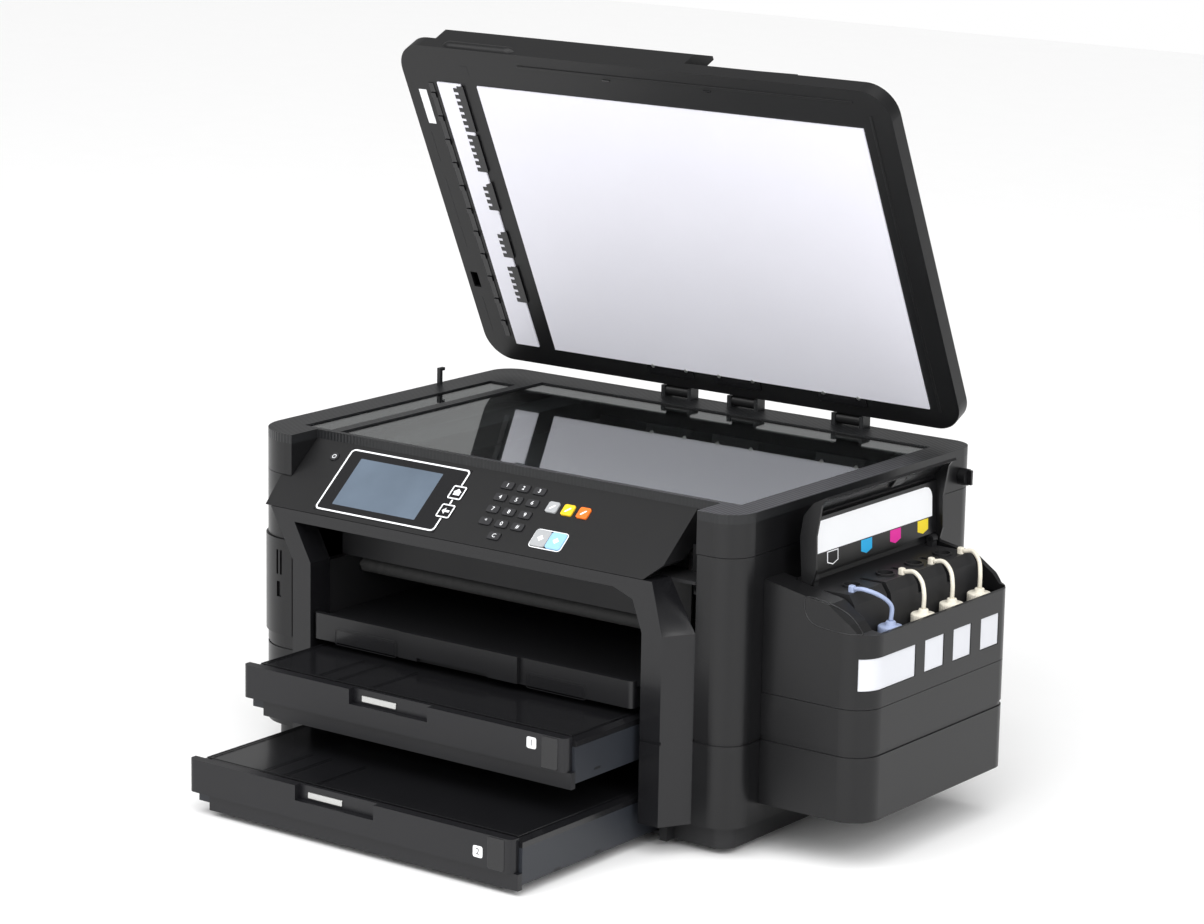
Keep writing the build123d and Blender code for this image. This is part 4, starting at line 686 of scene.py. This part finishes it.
# The label is a thin rectangle carried out from the hinge, its far corners cut in by a quarter circle,
# less at the front. The tags are pointed outlines between it and the hinge, and the latch is a plate.
def inkCoverLabel():
    r, low, lift = inkLabel["corner"], -inkLabel["sink"], inkLabel["lift"]
    rows = []
    for out in np.linspace(inkLabel["low"], inkLabel["high"], inkLabel["rows"]):
        over = max(out - (inkLabel["high"] - r), 0.0)
        cut = r - math.sqrt(max(r * r - over * over, 0.0))
        y0, y1 = inkLabel["front"] + inkLabel["frontShare"] * cut, inkLabel["rear"] - cut
        rows.append([(y0, out, low), (y1, out, low), (y1, out, lift), (y0, out, lift)])
    points = insideCover(np.array(rows).reshape(-1, 3))
    label = makeObject("coverLabel", points, ringFaces(len(rows), 4), markWhite)
    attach(label, "ink_cover")
    wide, top = inkLabel["tagWide"] / 2, inkLabel["tagTop"]
    tip = top - inkLabel["tagTall"]
    side = tip + inkLabel["tagPoint"]
    for name, y in inkLabel["tags"]:
        outline = [(y - wide, top), (y - wide, side), (y, tip), (y + wide, side), (y + wide, top)]
        slab("coverTag" + name.capitalize(), insideCover, outline, -inkLabel["tagSink"], inkLabel["tagLift"],
             tagColours[name], "ink_cover", "mat_white")
        if name == "white":
            share, drop = inkLabel["centreShare"], inkLabel["centreDrop"]
            inner = [(y + (a - y) * share, top + (b - top) * share - drop) for a, b in outline]
            slab("coverTagCentre", insideCover, inner, -inkLabel["tagSink"], inkLabel["centreLift"],
                 markBlack, "ink_cover", "key_black")
    plate("coverLatch", insideCover, inkLabel["latch"], *inkLabel["latchSize"], *inkLabel["latchForm"],
          finishes["body_black"], "ink_cover", "body_black")


inkCoverLabel()
print("ink unit dressed")

lidUnder = {"level": 316.6, "sink": 0.2, "pad": 1.5,
            "guides": ((78, 130), (134, 176), (188, 221), (246, 277), (288, 331)), "guideSides": (54.0, 67.0),
            "guidePitch": 7.5, "guideProud": 0.4, "toothShare": 0.6, "toothLong": 5.0,
            "rail": (23.0, 29.0, 78.0, 378.0), "railRibs": (27.0, 0.2, 0.6, 1.8),
            "slots": ((136.0, 172.0), (191.0, 215.0), (218.0, 245.0), (248.0, 273.0), (333.0, 375.0)),
            "slotX": 6.0, "slotWide": 1.8, "slotForm": (0.6, -0.2, 0.1, 0.04),
            "square": (73.0, 61.0), "squareSize": (10.0, 12.0), "squareForm": (0.8, -0.2, 0.12, 0.05),
            "label": (12.2, 106.5), "labelSize": (9.5, 39.0), "labelForm": (0.6, -0.2, 0.15, 0.05),
            "hinges": (227.0, 307.0, 430.0), "bracketY": 389.0, "bracketSize": (56.0, 15.0),
            "bracketForm": (2.0, -0.2, 1.2, 0.5),
            "screwX": 20.0, "screwY": 386.0, "screwSize": (4.4, 4.4), "screwForm": (2.19, 1.0, 1.9, 0.5),
            "ridgeFront": (142.0, 525.0, 49.0), "ridgeRight": (541.0, 62.0, 388.0), "ridgeWide": 2.4,
            "ridgeForm": (1.0, -0.2, 1.0, 0.5),
            "beads": (247.0, 363.0), "beadY": 54.0, "beadSize": (9.0, 1.6), "beadForm": (0.7, -0.2, 0.8, 0.3)}


# A face on the lid's underside, as shut: across, back, and out downwards.
def underLid(points):
    p = np.asarray(points, float)
    return onLid(np.stack([p[..., 0], p[..., 1], lidUnder["level"] - p[..., 2]], -1))


# The guides' outline: a straight right side, and on the left square teeth cut in once in every pitch.
def guideComb(front, rear):
    left, right = lidUnder["guideSides"]
    pitch, root = lidUnder["guidePitch"], left + lidUnder["toothLong"]
    comb = [(right, front), (right, rear)]
    for tooth in np.arange(rear, front + pitch / 2, -pitch):
        foot = tooth - lidUnder["toothShare"] * pitch
        comb += [(left, tooth), (left, foot), (root, foot), (root, max(tooth - pitch, front))]
    return comb


# On the lid's underside: combs as flat outlines, a ribbed bar, and plates for the slots, square, label,
# hinge brackets with their screws, ridges and beads.
def lidUnderside():
    body, black = "document_cover", finishes["lid_black"]
    for index, (y0, y1) in enumerate(lidUnder["guides"]):
        slab(f"lidGuide{index + 1}", underLid, guideComb(y0, y1), -lidUnder["sink"],
             lidUnder["pad"] + lidUnder["guideProud"], glossBlock, body, "lid_black")
    x0, x1, y0, y1 = lidUnder["rail"]
    steppedBar("lidRail", underLid, x0, x1, ribStations(y0, y1, *lidUnder["railRibs"]), -lidUnder["sink"],
               glossBlock, body)
    for index, (y0, y1) in enumerate(lidUnder["slots"]):
        plate(f"lidSlot{index + 1}", underLid, (lidUnder["slotX"], (y0 + y1) / 2), lidUnder["slotWide"],
              y1 - y0, *lidUnder["slotForm"], markBlack, body, "key_black")
    plate("lidSquare", underLid, lidUnder["square"], *lidUnder["squareSize"], *lidUnder["squareForm"],
          markBlack, body, "key_black")
    plate("lidLabel", underLid, lidUnder["label"], *lidUnder["labelSize"], *lidUnder["labelForm"],
          markWhite, body, "mat_white")
    for index, x in enumerate(lidUnder["hinges"]):
        plate(f"hingeBracket{index + 1}", underLid, (x, lidUnder["bracketY"]), *lidUnder["bracketSize"],
              *lidUnder["bracketForm"], glossBlock, body, "lid_black")
        for side, letter in ((-1, "A"), (1, "B")):
            plate(f"hingeScrew{index + 1}{letter}", underLid,
                  (x + side * lidUnder["screwX"], lidUnder["screwY"]), *lidUnder["screwSize"],
                  *lidUnder["screwForm"], stripSilver, body, "rail_steel")
    x0, x1, y = lidUnder["ridgeFront"]
    plate("lidRidgeFront", underLid, ((x0 + x1) / 2, y), x1 - x0, lidUnder["ridgeWide"],
          *lidUnder["ridgeForm"], black, body, "lid_black")
    x, y0, y1 = lidUnder["ridgeRight"]
    plate("lidRidgeRight", underLid, (x, (y0 + y1) / 2), lidUnder["ridgeWide"], y1 - y0,
          *lidUnder["ridgeForm"], black, body, "lid_black")
    for index, x in enumerate(lidUnder["beads"]):
        plate(f"lidBead{index + 1}", underLid, (x, lidUnder["beadY"]), *lidUnder["beadSize"],
              *lidUnder["beadForm"], glossBlock, body, "lid_black")


lidUnderside()

barrel = {"left": 47.0, "right": 142.0, "y": 40.5, "z": 323.0, "radius": 8.0, "leastRadius": 0.05,
          "flatten": 0.8, "taper": 9, "rows": 40, "sides": 32}


# The barrel on the lid's front edge: a turned bar, flattened in height, whose radius falls to both ends
# by a square root.
def lidBarrel():
    across = np.linspace(0, 1, barrel["rows"])
    toEnd = np.minimum(1.0, np.minimum(across, 1 - across) * barrel["taper"])
    radius = (barrel["radius"] * toEnd ** 0.5 + barrel["leastRadius"])[:, None]
    angle = np.linspace(0, 2 * math.pi, barrel["sides"], endpoint=False)
    x = (barrel["left"] + (barrel["right"] - barrel["left"]) * across)[:, None]
    points = np.stack([np.repeat(x, barrel["sides"], 1), barrel["y"] + radius * np.cos(angle),
                       barrel["z"] + radius * barrel["flatten"] * np.sin(angle)], -1)
    faces = ringFaces(barrel["rows"], barrel["sides"])
    obj = makeObject("lidBarrel", onLid(points.reshape(-1, 3)), faces, finishes["lid_black"], True)
    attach(obj, "document_cover")


lidBarrel()
print("lid detailed")

# Photo camera, fitted to the object's edges
view = {"targetMm": (223.54, 293.26, 268.76), "distance": 3688.07, "azimuth": 36.36, "elevation": 12.61,
        "roll": 1.05, "focalPixels": 3776.03, "frame": (1204, 924), "sensorWidth": 36.0, "clipEnd": 50.0}


# The camera looks back along azimuth and elevation at the fitted distance, then rolls about that line.
def photoCamera():
    az, el, ro = [math.radians(view[k]) for k in ("azimuth", "elevation", "roll")]
    back = Vector((math.sin(az) * math.cos(el), -math.cos(az) * math.cos(el), math.sin(el)))
    right = Vector((math.cos(az), math.sin(az), 0))
    up = back.cross(right)
    rightTurned = math.cos(ro) * right + math.sin(ro) * up
    upTurned = -math.sin(ro) * right + math.cos(ro) * up
    camera = bpy.data.cameras.new("photoCamera")
    camera.sensor_width = view["sensorWidth"]
    camera.sensor_fit = "HORIZONTAL"
    camera.lens = view["focalPixels"] / view["frame"][0] * camera.sensor_width
    camera.clip_end = view["clipEnd"]
    obj = bpy.data.objects.new("photoCamera", camera)
    place = Vector(toRow(view["targetMm"])) + back * view["distance"] / 1000.0
    obj.matrix_world = Matrix.Translation(place) @ Matrix((rightTurned, upTurned, back)).transposed().to_4x4()
    bpy.context.scene.collection.objects.link(obj)
    bpy.context.scene.camera = obj


photoCamera()

# In metres: each area lamp has a place, a size and a power, and looks at the aim.
studio = {"fill": 0.4, "skyPower": 2.3, "skyAngle": 70.0, "skyFrom": (0.25, -0.35, 1.0), "aim": (0, 0, 0.25),
          "lights": (("keyLight", (-1.6, -2.2, 2.6), 2.2, 45.0), ("rightLight", (2.6, -0.9, 1.5), 1.6, 34.0),
                     ("frontLight", (0.4, -3.4, 0.9), 3.0, 50.0)), "floorHalf": 6.0}


# An even world, white behind the object and weaker as a light, a wide sky lamp and three area lamps.
def studioLight():
    bpy.context.scene.view_settings.view_transform = "Standard"
    world = bpy.data.worlds.new("studio")
    world.use_nodes = True
    tree = world.node_tree
    background = tree.nodes["Background"]
    background.inputs["Color"].default_value = (1, 1, 1, 1)
    seen, strength = tree.nodes.new("ShaderNodeLightPath"), tree.nodes.new("ShaderNodeMath")
    strength.operation = "MULTIPLY_ADD"
    strength.inputs[1].default_value = 1.0 - studio["fill"]
    strength.inputs[2].default_value = studio["fill"]
    tree.links.new(seen.outputs["Is Camera Ray"], strength.inputs[0])
    tree.links.new(strength.outputs[0], background.inputs["Strength"])
    bpy.context.scene.world = world
    for name, place, size, power in studio["lights"]:
        lamp = bpy.data.lights.new(name, "AREA")
        lamp.size, lamp.energy = size, power
        obj = bpy.data.objects.new(name, lamp)
        obj.location = place
        obj.rotation_euler = (Vector(studio["aim"]) - Vector(place)).to_track_quat("-Z", "Y").to_euler()
        bpy.context.scene.collection.objects.link(obj)
    sky = bpy.data.lights.new("skyLight", "SUN")
    sky.energy, sky.angle = studio["skyPower"], math.radians(studio["skyAngle"])
    skyObject = bpy.data.objects.new("skyLight", sky)
    skyObject.rotation_euler = (-Vector(studio["skyFrom"])).to_track_quat("-Z", "Y").to_euler()
    bpy.context.scene.collection.objects.link(skyObject)


# The floor: a flat grid of two parameters, wide enough to fill the frame.
def studioFloor():
    span = np.linspace(-studio["floorHalf"], studio["floorHalf"], 2)
    gx, gy = np.meshgrid(span, span, indexing="ij")
    points = np.stack([gx, gy, np.zeros_like(gx)], -1).reshape(-1, 3)
    paleFloor = moulded("paleFloor", (0.93, 0.93, 0.93), 0.6, 40, 0.0, 0.01)
    floor = makeObject("studioFloor", points, [(0, 2, 3, 1)], paleFloor)


studioLight()
studioFloor()
print("camera and light set")
